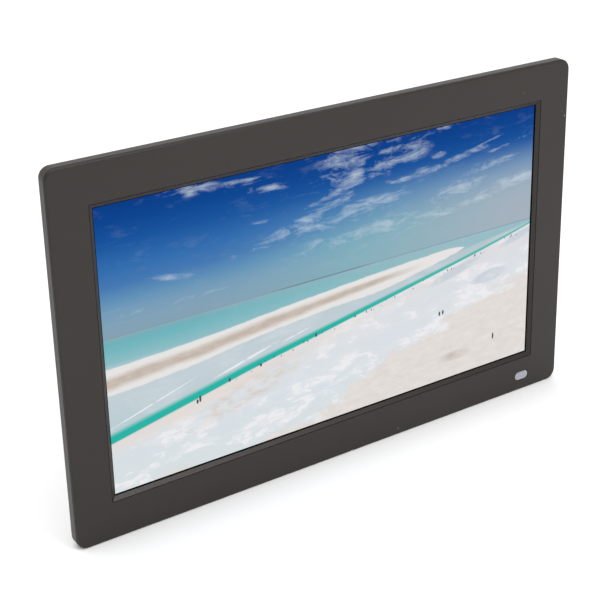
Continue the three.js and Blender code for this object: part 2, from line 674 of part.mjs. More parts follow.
const KEYHOLES = [-1, 1].map((side) => ({
  x: (side * KEYHOLE_SPACING) / 2,
  y: HALF_HEIGHT - KEYHOLE_FROM_TOP,
}));

// A round entry with a narrower neck above it, for a screw head on the wall.
function keyhole({ x, y }) {
  const front = COVER_INSIDE - 1;
  const back = COVER_DEPTH + KEYHOLE_PAD_RAISE + 1;
  const neckTop = y + KEYHOLE_RISE - KEYHOLE_NECK / 2;
  return join(
    disc(KEYHOLE_HEAD / 2, front, back, x, y),
    disc(KEYHOLE_NECK / 2, front, back, x, neckTop, 16),
    blockFrom([x - KEYHOLE_NECK / 2, y, front], [x + KEYHOLE_NECK / 2, neckTop, back]),
  );
}

// The raised pad round a keyhole, which meets the wall.
function keyholePad({ x, y }) {
  const pad = roundedRect(KEYHOLE_PAD_WIDTH, KEYHOLE_PAD_HEIGHT, 3, x, y + 2);
  return slab(pad, COVER_DEPTH - 0.5, COVER_DEPTH + KEYHOLE_PAD_RAISE, 2);
}

const KEY_CENTRES = KEY_NAMES.map((name, i) => ({ name, x: KEY_LAST_X - KEY_ROW + i * KEY_PITCH }));
// The speakers sit midway between the leg's recess and the housing's flank, and to the left as to the right.
const FLANK_INSIDE = HALF_WIDTH - HOUSING_INSET - HOUSING_SLOPE - SLOPE_WALL;
const SPEAKER_X = (RECESS_RIGHT + COVER_WALL + FLANK_INSIDE) / 2;
const SPEAKERS = [
  ["left", -1],
  ["right", 1],
].map(([name, side]) => ({
  name,
  x: side * SPEAKER_X,
  y: SPEAKER_FROM_BOTTOM - HALF_HEIGHT,
}));

function vents() {
  return Array.from({ length: VENT_COUNT }, (_, i) =>
    block(
      VENT_WIDTH,
      VENT_HEIGHT,
      COVER_INSIDE - 1,
      COVER_DEPTH + 1,
      VENT_FROM_SIDE - HALF_WIDTH + i * VENT_PITCH,
      HALF_HEIGHT - VENT_FROM_TOP,
    ),
  );
}

function grilles() {
  return SPEAKERS.flatMap(({ x, y }) =>
    Array.from({ length: GRILLE_SLOTS }, (_, i) =>
      block(
        GRILLE_SLOT_LENGTH,
        GRILLE_SLOT_WIDTH,
        COVER_INSIDE - 1,
        COVER_DEPTH + 1,
        x,
        y + (i - (GRILLE_SLOTS - 1) / 2) * GRILLE_PITCH,
      ),
    ),
  );
}

// Sockets along the board's right edge: centre from the board's lower edge, width and height of the shell.
const SOCKETS = {
  dc_jack: { along: 8, width: 9, height: DC_JACK_HEIGHT, length: 13 },
  usb_port: { along: 22, width: 13.4, height: 6, length: 14 },
  hdmi_port: { along: 38, width: 15, height: 5.8, length: 11 },
  headphone_jack: { along: 50, width: 7, height: 6, length: 12 },
  card_slot: { along: 25, width: 27, height: 3, length: 24 },
};
const SOCKET_MOUTH = PORT_WALL_X - FIT_GAP;
const SOCKET_FRONT = BOARD_BACK + SHEET_GAP;

// Sockets on the back of the board; the card slot is on its front.
function socketBlock(name, spare = 0, left = SOCKET_MOUTH - SOCKETS[name].length, right = SOCKET_MOUTH) {
  const { along, width, height } = SOCKETS[name];
  const y = BOARD_BOTTOM + along;
  const front = name === "card_slot" ? BOARD_FRONT - SHEET_GAP - height : SOCKET_FRONT;
  return blockFrom(
    [left, y - width / 2 - spare, front - spare],
    [right, y + width / 2 + spare, front + height + spare],
  );
}

const socketHoles = () =>
  Object.keys(SOCKETS).map((name) =>
    socketBlock(name, FIT_GAP, PORT_WALL_X - COVER_WALL - 1, PORT_WALL_X + 1),
  );

const BOARD_POSTS = [
  [-1, -1],
  [-1, 1],
  [1, 1],
].map(([sx, sy]) => ({
  x: BOARD_X + sx * (BOARD_WIDTH / 2 - POST_INSET),
  y: BOARD_Y + sy * (BOARD_HEIGHT / 2 - POST_INSET),
}));

const KEY_BOARD_WIDTH = KEY_ROW + 2 * KEY_BOARD_MARGIN;
const KEY_BOARD_X = KEY_LAST_X - KEY_ROW / 2;
const KEY_BOARD_POSTS = [-1, 1].map((side) => ({
  x: KEY_BOARD_X + side * (KEY_BOARD_WIDTH / 2 - POST_RADIUS - FIT_GAP),
  y: KEY_Y,
}));

const STAND_PLATE_LEFT = -RECESS_BESIDE + 1;
const STAND_SCREW_X = STAND_PLATE_LEFT + 9;
const STAND_MIDDLE = (HINGE_LOW + HINGE_HIGH) / 2 - HALF_HEIGHT;
const STAND_SCREWS = [
  ["upper", 1],
  ["lower", -1],
].map(([name, side]) => ({ name, x: STAND_SCREW_X, y: STAND_MIDDLE + (side * STAND_SCREW_SPACING) / 2 }));
const STAND_BOSS_FRONT = RECESS_FLOOR - STAND_BOSS_LENGTH;

function rearCover() {
  const outline = roundedRect(RIM_WIDTH, RIM_HEIGHT, RIM_CORNER);
  const rim = join(
    slab(outline, RIM_FRONT, RIM_BACK - RIM_ROUND),
    flared(outline, RIM_BACK - RIM_ROUND, RIM_BACK, RIM_ROUND, 2),
  );
  const outside = join(rim, housing(0, RIM_BACK - 0.5, COVER_DEPTH), ...KEYHOLES.map(keyholePad));
  const behindRim = block(
    RIM_WIDTH - 2 * RIM_BAND,
    RIM_HEIGHT - 2 * RIM_BAND,
    RIM_FRONT - 1,
    PLATE_INSIDE,
  );
  const hollow = cut(
    housing(SLOPE_WALL, PLATE_INSIDE - 0.5, COVER_INSIDE),
    legRecess(COVER_WALL),
    portLedge(COVER_WALL, PLATE_INSIDE),
  );
  const shell = cut(outside, behindRim, hollow, legRecess(0), portLedge(0, RIM_BACK));
  const added = [
    tongue(),
    ...COVER_SCREWS.map(({ x, y }) =>
      disc(BOSS_RADIUS + 1, COVER_BOSS_TOP + FIT_GAP, RIM_BACK - 1, x, y),
    ),
    ...BOARD_POSTS.map(({ x, y }) => disc(POST_RADIUS, BOARD_BACK + FIT_GAP, COVER_INSIDE + 0.5, x, y, 12)),
    ...KEY_BOARD_POSTS.map(({ x, y }) =>
      disc(POST_RADIUS, KEY_BOARD_BACK + FIT_GAP, COVER_INSIDE + 0.5, x, y, 12),
    ),
    ...STAND_SCREWS.map(({ x, y }) => disc(BOSS_RADIUS, STAND_BOSS_FRONT, RECESS_FLOOR - 1, x, y, 16)),
  ];
  const holes = [
    ...COVER_SCREWS.map(({ x, y }) => disc(HOLE_RADIUS, TONGUE_FRONT, COVER_DEPTH, x, y, 12)),
    ...COVER_SCREWS.map(({ x, y }) =>
      disc(SCREW_HEAD_RADIUS + FIT_GAP, COVER_SCREW_SEAT, COVER_DEPTH, x, y),
    ),
    ...STAND_SCREWS.map(({ x, y }) => disc(HOLE_RADIUS, STAND_BOSS_FRONT + 1, RECESS_FLOOR + 1, x, y, 12)),
    ...KEY_CENTRES.map(({ x }) => disc(KEY_RADIUS + FIT_GAP, COVER_INSIDE - 1, COVER_DEPTH + 1, x, KEY_Y)),
    ...KEYHOLES.map(keyhole),
    ...vents(),
    ...grilles(),
    ...socketHoles(),
  ];
  return cut(join(shell, ...added), ...holes);
}

place("rear_cover", rearCover(), MATERIAL.cover);

// ---- Boards, chips and cable ------------------------------------------------------------------

const DRIVER_FRONT = TRAY_BACK + FIT_GAP;
const DRIVER_LOW = MODULE_Y - MODULE_HEIGHT / 2 + 3;

place(
  "panel_driver_board",
  block(
    MODULE_WIDTH - 2 * DRIVER_BOARD_MARGIN,
    DRIVER_BOARD_HEIGHT,
    DRIVER_FRONT,
    DRIVER_FRONT + DRIVER_BOARD_SHEET,
    0,
    DRIVER_LOW + DRIVER_BOARD_HEIGHT / 2,
  ),
  MATERIAL.board,
);

place(
  "main_board",
  block(BOARD_WIDTH, BOARD_HEIGHT, BOARD_FRONT, BOARD_BACK, BOARD_X, BOARD_Y),
  MATERIAL.board,
);

const CHIP_X = BOARD_X - 12;
const CHIP_BACK = SOCKET_FRONT + CHIP_THICKNESS;
place(
  "main_processor",
  block(CHIP_SIZE, CHIP_SIZE, SOCKET_FRONT, CHIP_BACK),
  MATERIAL.chip,
  CHIP_X,
  BOARD_Y,
);

// A small finned heat sink on the processor.
function heatSink() {
  const front = CHIP_BACK + SHEET_GAP;
  const base = block(SINK_SIZE, SINK_SIZE, front, front + SINK_BASE);
  const pitch = (SINK_SIZE - SINK_FIN) / (SINK_FINS - 1);
  const fins = Array.from({ length: SINK_FINS }, (_, i) => {
    const x = (i - (SINK_FINS - 1) / 2) * pitch;
    return block(SINK_FIN, SINK_SIZE, front + SINK_BASE - 0.2, front + SINK_HEIGHT, x);
  });
  return join(base, ...fins);
}
place("heat_sink", heatSink(), MATERIAL.aluminium, CHIP_X, BOARD_Y);

// A flat ribbon from the driver board up behind the tray, then back to the main board's lower edge.
function displayCable() {
  const near = DRIVER_FRONT + DRIVER_BOARD_SHEET + SHEET_GAP;
  const far = BOARD_FRONT - SHEET_GAP;
  const low = DRIVER_LOW + DRIVER_BOARD_HEIGHT / 2;
  const bend = BOARD_BOTTOM - 2;
  const high = BOARD_BOTTOM + 6;
  const side = polygon(
    [low, near],
    [bend, near],
    [bend + 3, far - CABLE_SHEET],
    [high, far - CABLE_SHEET],
    [high, far],
    [bend + 3 - CABLE_SHEET, far],
    [bend - CABLE_SHEET, near + CABLE_SHEET],
    [low, near + CABLE_SHEET],
  );
  const options = { depth: CABLE_WIDTH, bevelEnabled: false };
  const geometry = new THREE.ExtrudeGeometry(side, options);
  // The side view (y, depth) is turned so that the extrusion runs along x.
  const turn = new THREE.Matrix4().makeBasis(
    new THREE.Vector3(0, 1, 0),
    new THREE.Vector3(0, 0, -1),
    new THREE.Vector3(-1, 0, 0),
  );
  return solid(geometry.applyMatrix4(turn));
}
place(
  "display_cable",
  displayCable(),
  MATERIAL.ribbon,
  BOARD_X - BOARD_WIDTH / 2 + CABLE_FROM_BOARD_EDGE + CABLE_WIDTH,
);

// ---- Sockets ----------------------------------------------------------------------------------

const along = (name) => BOARD_BOTTOM + SOCKETS[name].along;

// A socket shell with a cavity of the given width and height, open at its mouth.
function socketWithCavity(name, width, height, deep, ...inside) {
  const y = along(name);
  const front = name === "card_slot" ? BOARD_FRONT - SHEET_GAP - SOCKETS[name].height : SOCKET_FRONT;
  const middle = front + SOCKETS[name].height / 2;
  const cavity = blockFrom(
    [SOCKET_MOUTH - deep, y - width / 2, middle - height / 2],
    [SOCKET_MOUTH + 1, y + width / 2, middle + height / 2],
  );
  const body = cut(socketBlock(name), cavity);
  const tongues = inside.map(([w, h, shift, reach]) =>
    blockFrom(
      [SOCKET_MOUTH - deep - 0.2, y - w / 2, middle + shift - h / 2],
      [SOCKET_MOUTH - deep + reach, y + w / 2, middle + shift + h / 2],
    ),
  );
  return tongues.length ? join(body, ...tongues) : body;
}

function roundSocket(name, holeRadius, deep, pinRadius) {
  const middle = SOCKET_FRONT + SOCKETS[name].height / 2;
  const hole = tube(holeRadius, SOCKET_MOUTH - deep, SOCKET_MOUTH + 1, along(name), middle);
  const body = cut(socketBlock(name), hole);
  if (!pinRadius) return body;
  return join(body, tube(pinRadius, SOCKET_MOUTH - deep - 0.3, SOCKET_MOUTH - 1, along(name), middle, 12));
}

place("dc_jack", roundSocket("dc_jack", 2.9, 10, 1), MATERIAL.socket);
place("headphone_jack", roundSocket("headphone_jack", 1.8, 10), MATERIAL.socket);
place("usb_port", socketWithCavity("usb_port", 12.5, 5.1, 12, [11, 1.8, -1, 9]), MATERIAL.steel);
place("hdmi_port", socketWithCavity("hdmi_port", 14, 4.6, 9, [11, 1.2, 0, 7.5]), MATERIAL.steel);
place("card_slot", socketWithCavity("card_slot", 24.6, 2.2, 21), MATERIAL.steel);

// ---- Keys -------------------------------------------------------------------------------------

place(
  "key_board",
  block(KEY_BOARD_WIDTH, KEY_BOARD_HEIGHT, KEY_BOARD_BACK - BOARD_SHEET, KEY_BOARD_BACK),
  MATERIAL.board,
  KEY_BOARD_X,
  KEY_Y,
);

// A round key with a flange inside the cover and a stem towards its switch; drawn in true depth.
function keyCap() {
  const crown = COVER_DEPTH + KEY_PROUD;
  return turned([
    [0, KEY_BASE - KEY_STEM_LENGTH],
    [KEY_STEM_RADIUS, KEY_BASE - KEY_STEM_LENGTH],
    [KEY_STEM_RADIUS, KEY_BASE],
    [KEY_FLANGE_RADIUS, KEY_BASE],
    [KEY_FLANGE_RADIUS, KEY_BASE + KEY_FLANGE_THICKNESS],
    [KEY_RADIUS, KEY_BASE + KEY_FLANGE_THICKNESS],
    [KEY_RADIUS, crown - 0.4],
    [KEY_RADIUS - 0.4, crown],
    [0, crown],
  ]);
}

function tactSwitch() {
  const foot = KEY_BOARD_BACK + SHEET_GAP;
  return join(
    block(SWITCH_SIZE, SWITCH_SIZE, foot, foot + SWITCH_HEIGHT),
    disc(SWITCH_PLUNGER_RADIUS, foot + SWITCH_HEIGHT - 0.2, SWITCH_TOP, 0, 0, 12),
  );
}

for (const { name, x } of KEY_CENTRES) {
  place(`key_${name}`, keyCap(), MATERIAL.key, x, KEY_Y);
  place(`switch_${name}`, tactSwitch(), MATERIAL.chip, x, KEY_Y);
}

// ---- Speakers ---------------------------------------------------------------------------------

// Basket, cone and magnet of a small round speaker that fires through the back.
function speaker() {
  const back = SPEAKER_BACK;
  const basketFront = back - SPEAKER_RIM - SPEAKER_BASKET;
  return turned(
    [
      [0, basketFront - SPEAKER_MAGNET_HEIGHT],
      [SPEAKER_MAGNET_RADIUS, basketFront - SPEAKER_MAGNET_HEIGHT],
      [SPEAKER_MAGNET_RADIUS, basketFront],
      [SPEAKER_RADIUS - 2, back - SPEAKER_RIM],
      [SPEAKER_RADIUS, back - SPEAKER_RIM],
      [SPEAKER_RADIUS, back],
      [SPEAKER_RADIUS - 2.5, back],
      [5, back - 4],
      [3, back - 3],
      [0, back - 2.6],
    ],
    24,
  );
}

for (const { name, x, y } of SPEAKERS) {
  place(`speaker_${name}`, speaker(), MATERIAL.speaker, x, y);
}

// ---- Swing-out foot ---------------------------------------------------------------------------

const up = (height) => height - HALF_HEIGHT; // a height above the table, in the panel's y
const BARREL_LOW = HINGE_LOW + EAR_HEIGHT + FIT_GAP;
const BARREL_HIGH = BARREL_LOW + BARREL_LENGTH;
const PIN_HOLE = PIN_RADIUS + PIN_PLAY;

// A plate on the recess floor, a web beside the pin and two ears that hold it.
function standBracket() {
  const plateFront = RECESS_FLOOR + FIT_GAP;
  const webRight = -BARREL_RADIUS - 1.5;
  const webLeft = webRight - BRACKET_WEB;
  const plate = blockFrom(
    [STAND_PLATE_LEFT, up(HINGE_LOW), plateFront],
    [STAND_PLATE_LEFT + BRACKET_PLATE_WIDTH, up(HINGE_HIGH), plateFront + BRACKET_PLATE],
  );
  const web = blockFrom(
    [webLeft, up(HINGE_LOW), plateFront],
    [webRight, up(HINGE_HIGH), HINGE_DEPTH + 1.5],
  );
  const ears = [HINGE_LOW, HINGE_HIGH - EAR_HEIGHT].flatMap((low) => [
    rod(BARREL_RADIUS, up(low), up(low + EAR_HEIGHT), 0, HINGE_DEPTH),
    blockFrom(
      [webLeft, up(low), HINGE_DEPTH - BARREL_RADIUS],
      [0, up(low + EAR_HEIGHT), HINGE_DEPTH + BARREL_RADIUS],
    ),
  ]);
  const pinHole = rod(PIN_HOLE, up(HINGE_LOW) - 1, up(HINGE_HIGH) + 1, 0, HINGE_DEPTH);
  const screwHoles = STAND_SCREWS.map(({ x, y }) =>
    disc(HOLE_RADIUS, RECESS_FLOOR, RECESS_FLOOR + 4, x, y, 12),
  );
  return cut(join(plate, web, ...ears), pinHole, ...screwHoles);
}
place("stand_bracket", standBracket(), MATERIAL.cover);

place(
  "hinge_pin",
  join(
    rod(PIN_RADIUS, up(HINGE_LOW), up(HINGE_HIGH) + 0.5, 0, HINGE_DEPTH),
    rod(
      PIN_HEAD_RADIUS,
      up(HINGE_HIGH) + FIT_GAP,
      up(HINGE_HIGH) + FIT_GAP + PIN_HEAD_HEIGHT,
      0,
      HINGE_DEPTH,
    ),
  ),
  MATERIAL.steel,
);

for (const { name, x, y } of STAND_SCREWS) {
  const seat = RECESS_FLOOR + FIT_GAP + BRACKET_PLATE + FIT_GAP;
  place(`stand_screw_${name}`, screw(seat - STAND_BOSS_FRONT - 2), MATERIAL.zinc, x, y, seat);
}

// The leg's blade in side view (distance behind the pin, height above the table), then its barrel.
function standLeg() {
  const padStart = LEG_REACH - PAD_FROM_TIP - PAD_LENGTH - 1;
  const padSeat = PAD_THICKNESS + FIT_GAP;
  const shoulder = BARREL_HIGH - 4;
  const tipRadius = 4;
  const outline = new THREE.Shape();
  outline.moveTo(LEG_HEEL, LEG_ARCH);
  outline.lineTo(padStart - 3, LEG_ARCH);
  outline.lineTo(padStart, padSeat);
  outline.lineTo(LEG_REACH - 1, padSeat);
  outline.lineTo(LEG_REACH, padSeat + 1);
  outline.lineTo(LEG_REACH, LEG_TIP_HEIGHT - tipRadius);
  outline.absarc(LEG_REACH - tipRadius, LEG_TIP_HEIGHT - tipRadius, tipRadius, 0, Math.PI / 2);
  outline.quadraticCurveTo(LEG_REACH * 0.4, LEG_TIP_HEIGHT + 6, LEG_HEEL + 4, shoulder);
  outline.lineTo(LEG_HEEL, shoulder);
  const options = { depth: LEG_THICKNESS, bevelEnabled: false, curveSegments: 5 };
  const geometry = new THREE.ExtrudeGeometry(outline, options);
  // Side view to the panel's frame: distance to depth, height to y, thickness centred on x = 0.
  const turn = new THREE.Matrix4().makeBasis(
    new THREE.Vector3(0, 0, -1),
    new THREE.Vector3(0, 1, 0),
    new THREE.Vector3(1, 0, 0),
  );
  geometry.applyMatrix4(turn).translate(-LEG_THICKNESS / 2, -HALF_HEIGHT, -HINGE_DEPTH);
  const barrel = rod(BARREL_RADIUS, up(BARREL_LOW), up(BARREL_HIGH), 0, HINGE_DEPTH);
  const root = blockFrom(
    [-LEG_THICKNESS / 2, up(BARREL_LOW), HINGE_DEPTH],
    [LEG_THICKNESS / 2, up(shoulder), HINGE_DEPTH + LEG_HEEL + 1],
  );
  const pinHole = rod(PIN_HOLE, up(BARREL_LOW) - 1, up(BARREL_HIGH) + 1, 0, HINGE_DEPTH);
  return cut(join(solid(geometry), barrel, root), pinHole);
}
place("stand_leg", standLeg(), MATERIAL.cover);

const PAD_DEPTH = HINGE_DEPTH + LEG_REACH - PAD_FROM_TIP - PAD_LENGTH;
place(
  "stand_pad",
  blockFrom(
    [-LEG_THICKNESS / 2, up(0), PAD_DEPTH],
    [LEG_THICKNESS / 2, up(PAD_THICKNESS), PAD_DEPTH + PAD_LENGTH],
  ),
  MATERIAL.rubber,
);

// The panel is stood up: its y becomes height, and depth runs back from the front face.
panel.rotation.x = Math.PI / 2;
panel.position.set(0, -SKIRT_DEPTH / 2, HALF_HEIGHT);

const photoFrame = new THREE.Group();
photoFrame.add(panel);

export default photoFrame;
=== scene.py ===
# A 15.6-inch digital photo frame on a pale table: moulded front shell with a lit display, sloping rear
# cover with vents, keyholes, keys and sockets, and a swing-out foot.
import json
import math
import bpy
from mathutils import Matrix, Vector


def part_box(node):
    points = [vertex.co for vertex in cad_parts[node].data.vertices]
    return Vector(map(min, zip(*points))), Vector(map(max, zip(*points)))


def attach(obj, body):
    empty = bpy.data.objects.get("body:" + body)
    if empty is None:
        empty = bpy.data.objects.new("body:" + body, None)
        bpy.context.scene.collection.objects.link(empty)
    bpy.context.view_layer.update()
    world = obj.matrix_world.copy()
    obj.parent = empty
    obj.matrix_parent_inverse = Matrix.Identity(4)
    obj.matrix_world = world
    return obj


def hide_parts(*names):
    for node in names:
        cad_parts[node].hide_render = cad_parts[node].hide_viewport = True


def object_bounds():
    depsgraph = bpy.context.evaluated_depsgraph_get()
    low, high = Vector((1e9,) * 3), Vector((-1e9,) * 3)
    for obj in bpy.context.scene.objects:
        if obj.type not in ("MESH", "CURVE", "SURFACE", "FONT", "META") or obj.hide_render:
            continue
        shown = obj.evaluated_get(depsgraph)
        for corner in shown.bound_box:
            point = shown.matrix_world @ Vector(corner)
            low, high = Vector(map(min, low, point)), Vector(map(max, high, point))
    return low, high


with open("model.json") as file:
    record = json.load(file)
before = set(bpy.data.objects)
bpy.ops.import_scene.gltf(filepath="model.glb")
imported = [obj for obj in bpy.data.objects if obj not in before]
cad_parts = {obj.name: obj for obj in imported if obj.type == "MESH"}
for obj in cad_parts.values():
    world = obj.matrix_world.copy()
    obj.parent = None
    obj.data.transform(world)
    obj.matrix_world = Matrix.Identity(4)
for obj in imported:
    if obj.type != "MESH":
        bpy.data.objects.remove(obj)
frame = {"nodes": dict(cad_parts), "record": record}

from types import SimpleNamespace

import bmesh
import bpy
from mathutils import Matrix, Vector

CAD_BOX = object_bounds()
MM = 0.001

# ---- Places, in panel millimetres -------------------------------------------------------------
# x runs to the viewer's right from the panel's middle, y up from its middle, and depth back from
# the front face, as on the bench with the panel on its back.
shell_low, shell_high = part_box("front_bezel")
FACE_Y = shell_low.y
MIDDLE_Z = (shell_low.z + shell_high.z) / 2


def row(x, y, depth):
    """A place on the panel as a point in the frame, in metres."""
    return Vector((x * MM, FACE_Y + depth * MM, MIDDLE_Z + y * MM))


def extent(node):
    """A node's box in panel millimetres, with its middle and its size."""
    low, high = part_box(node)
    box = SimpleNamespace(left=low.x / MM, right=high.x / MM)
    box.low, box.high = (low.z - MIDDLE_Z) / MM, (high.z - MIDDLE_Z) / MM
    box.front, box.back = (low.y - FACE_Y) / MM, (high.y - FACE_Y) / MM
    box.x, box.y = (box.left + box.right) / 2, (box.low + box.high) / 2
    box.width, box.height = box.right - box.left, box.high - box.low
    return box


SHELL = extent("front_bezel")
COVER = extent("rear_cover")
GLASS = extent("lcd_glass")
WINDOW = extent("sensor_window")
BRACKET = extent("stand_bracket")
LEG = extent("stand_leg")
PAD = extent("stand_pad")
BOARD = extent("main_board")
KEY_NAMES = ["power", "menu", "left", "up", "down", "right", "ok"]
SOCKETS = ["dc_jack", "usb_port", "hdmi_port", "headphone_jack", "card_slot"]
COVER_SCREWS = [n for n in frame["nodes"] if n.startswith("cover_screw")]
STAND_SCREWS = [n for n in frame["nodes"] if n.startswith("stand_screw")]
BRACKET_SCREWS = [n for n in frame["nodes"] if n.startswith("bracket_screw")]

# ---- Sizes, in millimetres --------------------------------------------------------------------
FIT_GAP = 0.3
CORNER_RADIUS = 8
EDGE_ROUND = 1.3
SKIRT_WALL = 2.2
LINE_WIDTH, LINE_CUT = 0.6, 0.9  # fine groove round the skirt, behind the rounded edge
SEAM_WIDTH, SEAM_CUT = 0.4, 0.7  # fine groove between the flat border and the chamfer
FACE_WALL = 2.4
BLACK_BORDER = 0.8  # unlit glass between the picture and the lip
UNDER_LIP_SIDE = 5.3  # glass hidden behind the lip, left and right
UNDER_LIP_TOP = 3.3
CHAMFER_WIDTH = 2.6
CHAMFER_STEP = 0.2
LIP_DEPTH = 2.0
NOTCH_X, NOTCH_WIDTH, NOTCH_TIP, NOTCH_HEIGHT = 9.8, 4.6, 1.4, 1.6
SIDE_SLOT_Y, SIDE_SLOT_HEIGHT, SIDE_SLOT_DEPTH = 3, 4, 1.8

RIM_INSET = 1.0
RIM_FRONT = SHELL.back + FIT_GAP
RIM_BACK = 11.5
RIM_WALL = 2.0
RIM_BAND = 5.5
RIM_ROUND = 0.8
COVER_WALL = 2.2
HOUSING_INSET = 16
HOUSING_SLOPE = 10
HOUSING_CORNER = 16
PAD_RAISE = 1  # the wall pads behind the housing
HOUSING_BACK = COVER.back - PAD_RAISE
BACK_ROUND = 1.6  # edge between the slope and the flat back
MOUTH = 0.5  # chamfer round each hole in the back

WINDOW_FLANGE = 1.4  # hidden rim that holds the receiver's window
WINDOW_WIDTH = WINDOW.width - 2 * WINDOW_FLANGE
WINDOW_HEIGHT = WINDOW.height - 2 * WINDOW_FLANGE
KEY_RADIUS = 4
SCREW_HEAD = 1.5

LIP_WIDTH = GLASS.width - 2 * UNDER_LIP_SIDE
LIP_HEIGHT = 2 * (GLASS.high - UNDER_LIP_TOP)
PICTURE_WIDTH = LIP_WIDTH - 2 * BLACK_BORDER
PICTURE_HEIGHT = LIP_HEIGHT - 2 * BLACK_BORDER


# ---- Mesh helpers -----------------------------------------------------------------------------
def rounded(width, height, radius, x=0, y=0, steps=10):
    """A rounded rectangle's outline, anticlockwise from the right side."""
    points = []
    for quarter, (sx, sy) in enumerate([(1, 1), (-1, 1), (-1, -1), (1, -1)]):
        for step in range(steps + 1):
            angle = math.pi / 2 * (quarter + step / steps)
            across = x + sx * (width / 2 - radius) + radius * math.cos(angle)
            up = y + sy * (height / 2 - radius) + radius * math.sin(angle)
            points.append((across, up))
    return points


def fillet(radius, depth, towards, steps=5):
    """Insets and depths along a quarter round that starts flush with the side and ends on the face."""
    turns = [math.pi / 2 * i / steps for i in range(steps + 1)]
    return [(radius * (1 - math.cos(t)), depth + towards * radius * math.sin(t)) for t in turns]


def mesh_piece(name, shape):
    """Turns a bmesh into an object whose vertices are already in place."""
    bmesh.ops.remove_doubles(shape, verts=shape.verts, dist=1e-7)
    bmesh.ops.recalc_face_normals(shape, faces=shape.faces)
    mesh = bpy.data.meshes.new(name)
    shape.to_mesh(mesh)
    shape.free()
    piece = bpy.data.objects.new(name, mesh)
    bpy.context.scene.collection.objects.link(piece)
    return piece


def loft_into(shape, layers, ring=False):
    """Adds a skin through matching outlines, each with its depth: capped, or joined end to start."""
    rows = [[shape.verts.new(row(x, y, depth)) for x, y in outline] for outline, depth in layers]
    pairs = list(zip(rows, rows[1:]))
    if ring:
        pairs.append((rows[-1], rows[0]))
    count = len(rows[0])
    for near, far in pairs:
        for i in range(count):
            j = (i + 1) % count
            shape.faces.new((near[i], near[j], far[j], far[i]))
    if not ring:
        shape.faces.new(rows[0])
        shape.faces.new(rows[-1])


def loft(name, layers, ring=False):
    """A piece made of one such skin."""
    shape = bmesh.new()
    loft_into(shape, layers, ring)
    return mesh_piece(name, shape)


def holes(name, outlines, front, back, mouth=MOUTH):
    """One cutter with a straight prong for each outline, which widens where it leaves the back face."""
    shape = bmesh.new()
    for outline in outlines:
        middle = Vector((sum(x for x, _ in outline), sum(y for _, y in outline))) / len(outline)
        wide = []
        for x, y in outline:
            out = Vector((x, y)) - middle
            wide.append(tuple(middle + out * (1 + mouth / max(out.length, mouth))))
        flare = [(outline, back - mouth), (wide, back + 0.001), (wide, back + 5)]
        loft_into(shape, [(outline, front)] + (flare if mouth else [(outline, back + 5)]))
    return mesh_piece(name, shape)


def turned(name, profile, x=0, y=0, segments=48):
    """A body turned about the depth axis: radius and depth pairs that start and end on the axis."""
    shape = bmesh.new()
    rings = []
    for radius, depth in profile:
        count = 1 if radius == 0 else segments
        turns = [math.tau * i / segments for i in range(count)]
        places = [row(x + radius * math.cos(a), y + radius * math.sin(a), depth) for a in turns]
        rings.append([shape.verts.new(place) for place in places])
    for near, far in zip(rings, rings[1:]):
        for i in range(segments):
            corners = [near[i % len(near)], near[(i + 1) % len(near)]]
            corners += [far[(i + 1) % len(far)], far[i % len(far)]]
            shape.faces.new(list(dict.fromkeys(corners)))
    return mesh_piece(name, shape)


def block(name, x, y, depth, radius=0.2):
    """A cutter or boss between two places along each of x, y and depth."""
    width, height = x[1] - x[0], y[1] - y[0]
    outline = rounded(width, height, radius, sum(x) / 2, sum(y) / 2, steps=4)
    return loft(name, [(outline, depth[0]), (outline, depth[1])])


def settle(piece):
    """Makes a piece's modifiers part of its mesh."""
    seen = piece.evaluated_get(bpy.context.evaluated_depsgraph_get())
    made = bpy.data.meshes.new_from_object(seen)
    piece.modifiers.clear()
    old = piece.data
    piece.data = made
    made.name = piece.name
    bpy.data.meshes.remove(old)


def combine(piece, tools, operation="DIFFERENCE"):
    """Cuts the tools out of a piece, or joins them to it, and takes the tools away."""
    for tool in tools:
        modifier = piece.modifiers.new("cut", "BOOLEAN")
        modifier.operation = operation
        modifier.solver = "EXACT"
        modifier.object = tool
        settle(piece)
        bpy.data.objects.remove(tool)
    return piece


def soften(piece, angle=32):
    """Smooth shading that keeps flat faces flat and leaves true corners sharp."""
    piece.data.shade_smooth()
    piece.data.set_sharp_from_angle(angle=math.radians(angle))
    even = piece.modifiers.new("even", "WEIGHTED_NORMAL")
    even.keep_sharp = True
    return piece


def dress(piece, slot, body="frame", instead_of=(), finish=None):
    """Gives a piece its slot's finish or another and its CAD body, and hides the CAD nodes it stands for."""
    piece.data.materials.append(finish or FINISH[slot])
    soften(piece)
    if instead_of:
        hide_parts(*instead_of)
    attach(piece, body)
    return piece


# ---- Material helpers -------------------------------------------------------------------------
# Settings that many nodes share. In a blend, input 0 is the share of 7 laid over 6.
BLEND = {"out": 2, "data_type": "RGBA"}
OVERLAP = {"operation": "MULTIPLY", "use_clamp": True}  # where two masks meet
TIMES = {"operation": "MULTIPLY"}
TIMES_PLUS = {"operation": "MULTIPLY_ADD"}
MINUS = {"operation": "SUBTRACT"}
SMOOTH = {"interpolation_type": "SMOOTHSTEP"}
OVAL = {"out": 1, "gradient_type": "SPHERICAL"}
FLAT_NOISE = {"noise_dimensions": "2D"}


def colour(code, alpha=1.0):
    """An sRGB hex colour as the linear values that shaders use."""
    values = [int(code[i : i + 2], 16) / 255 for i in (1, 3, 5)]
    linear = [v / 12.92 if v <= 0.04045 else ((v + 0.055) / 1.055) ** 2.4 for v in values]
    return (*linear, alpha)


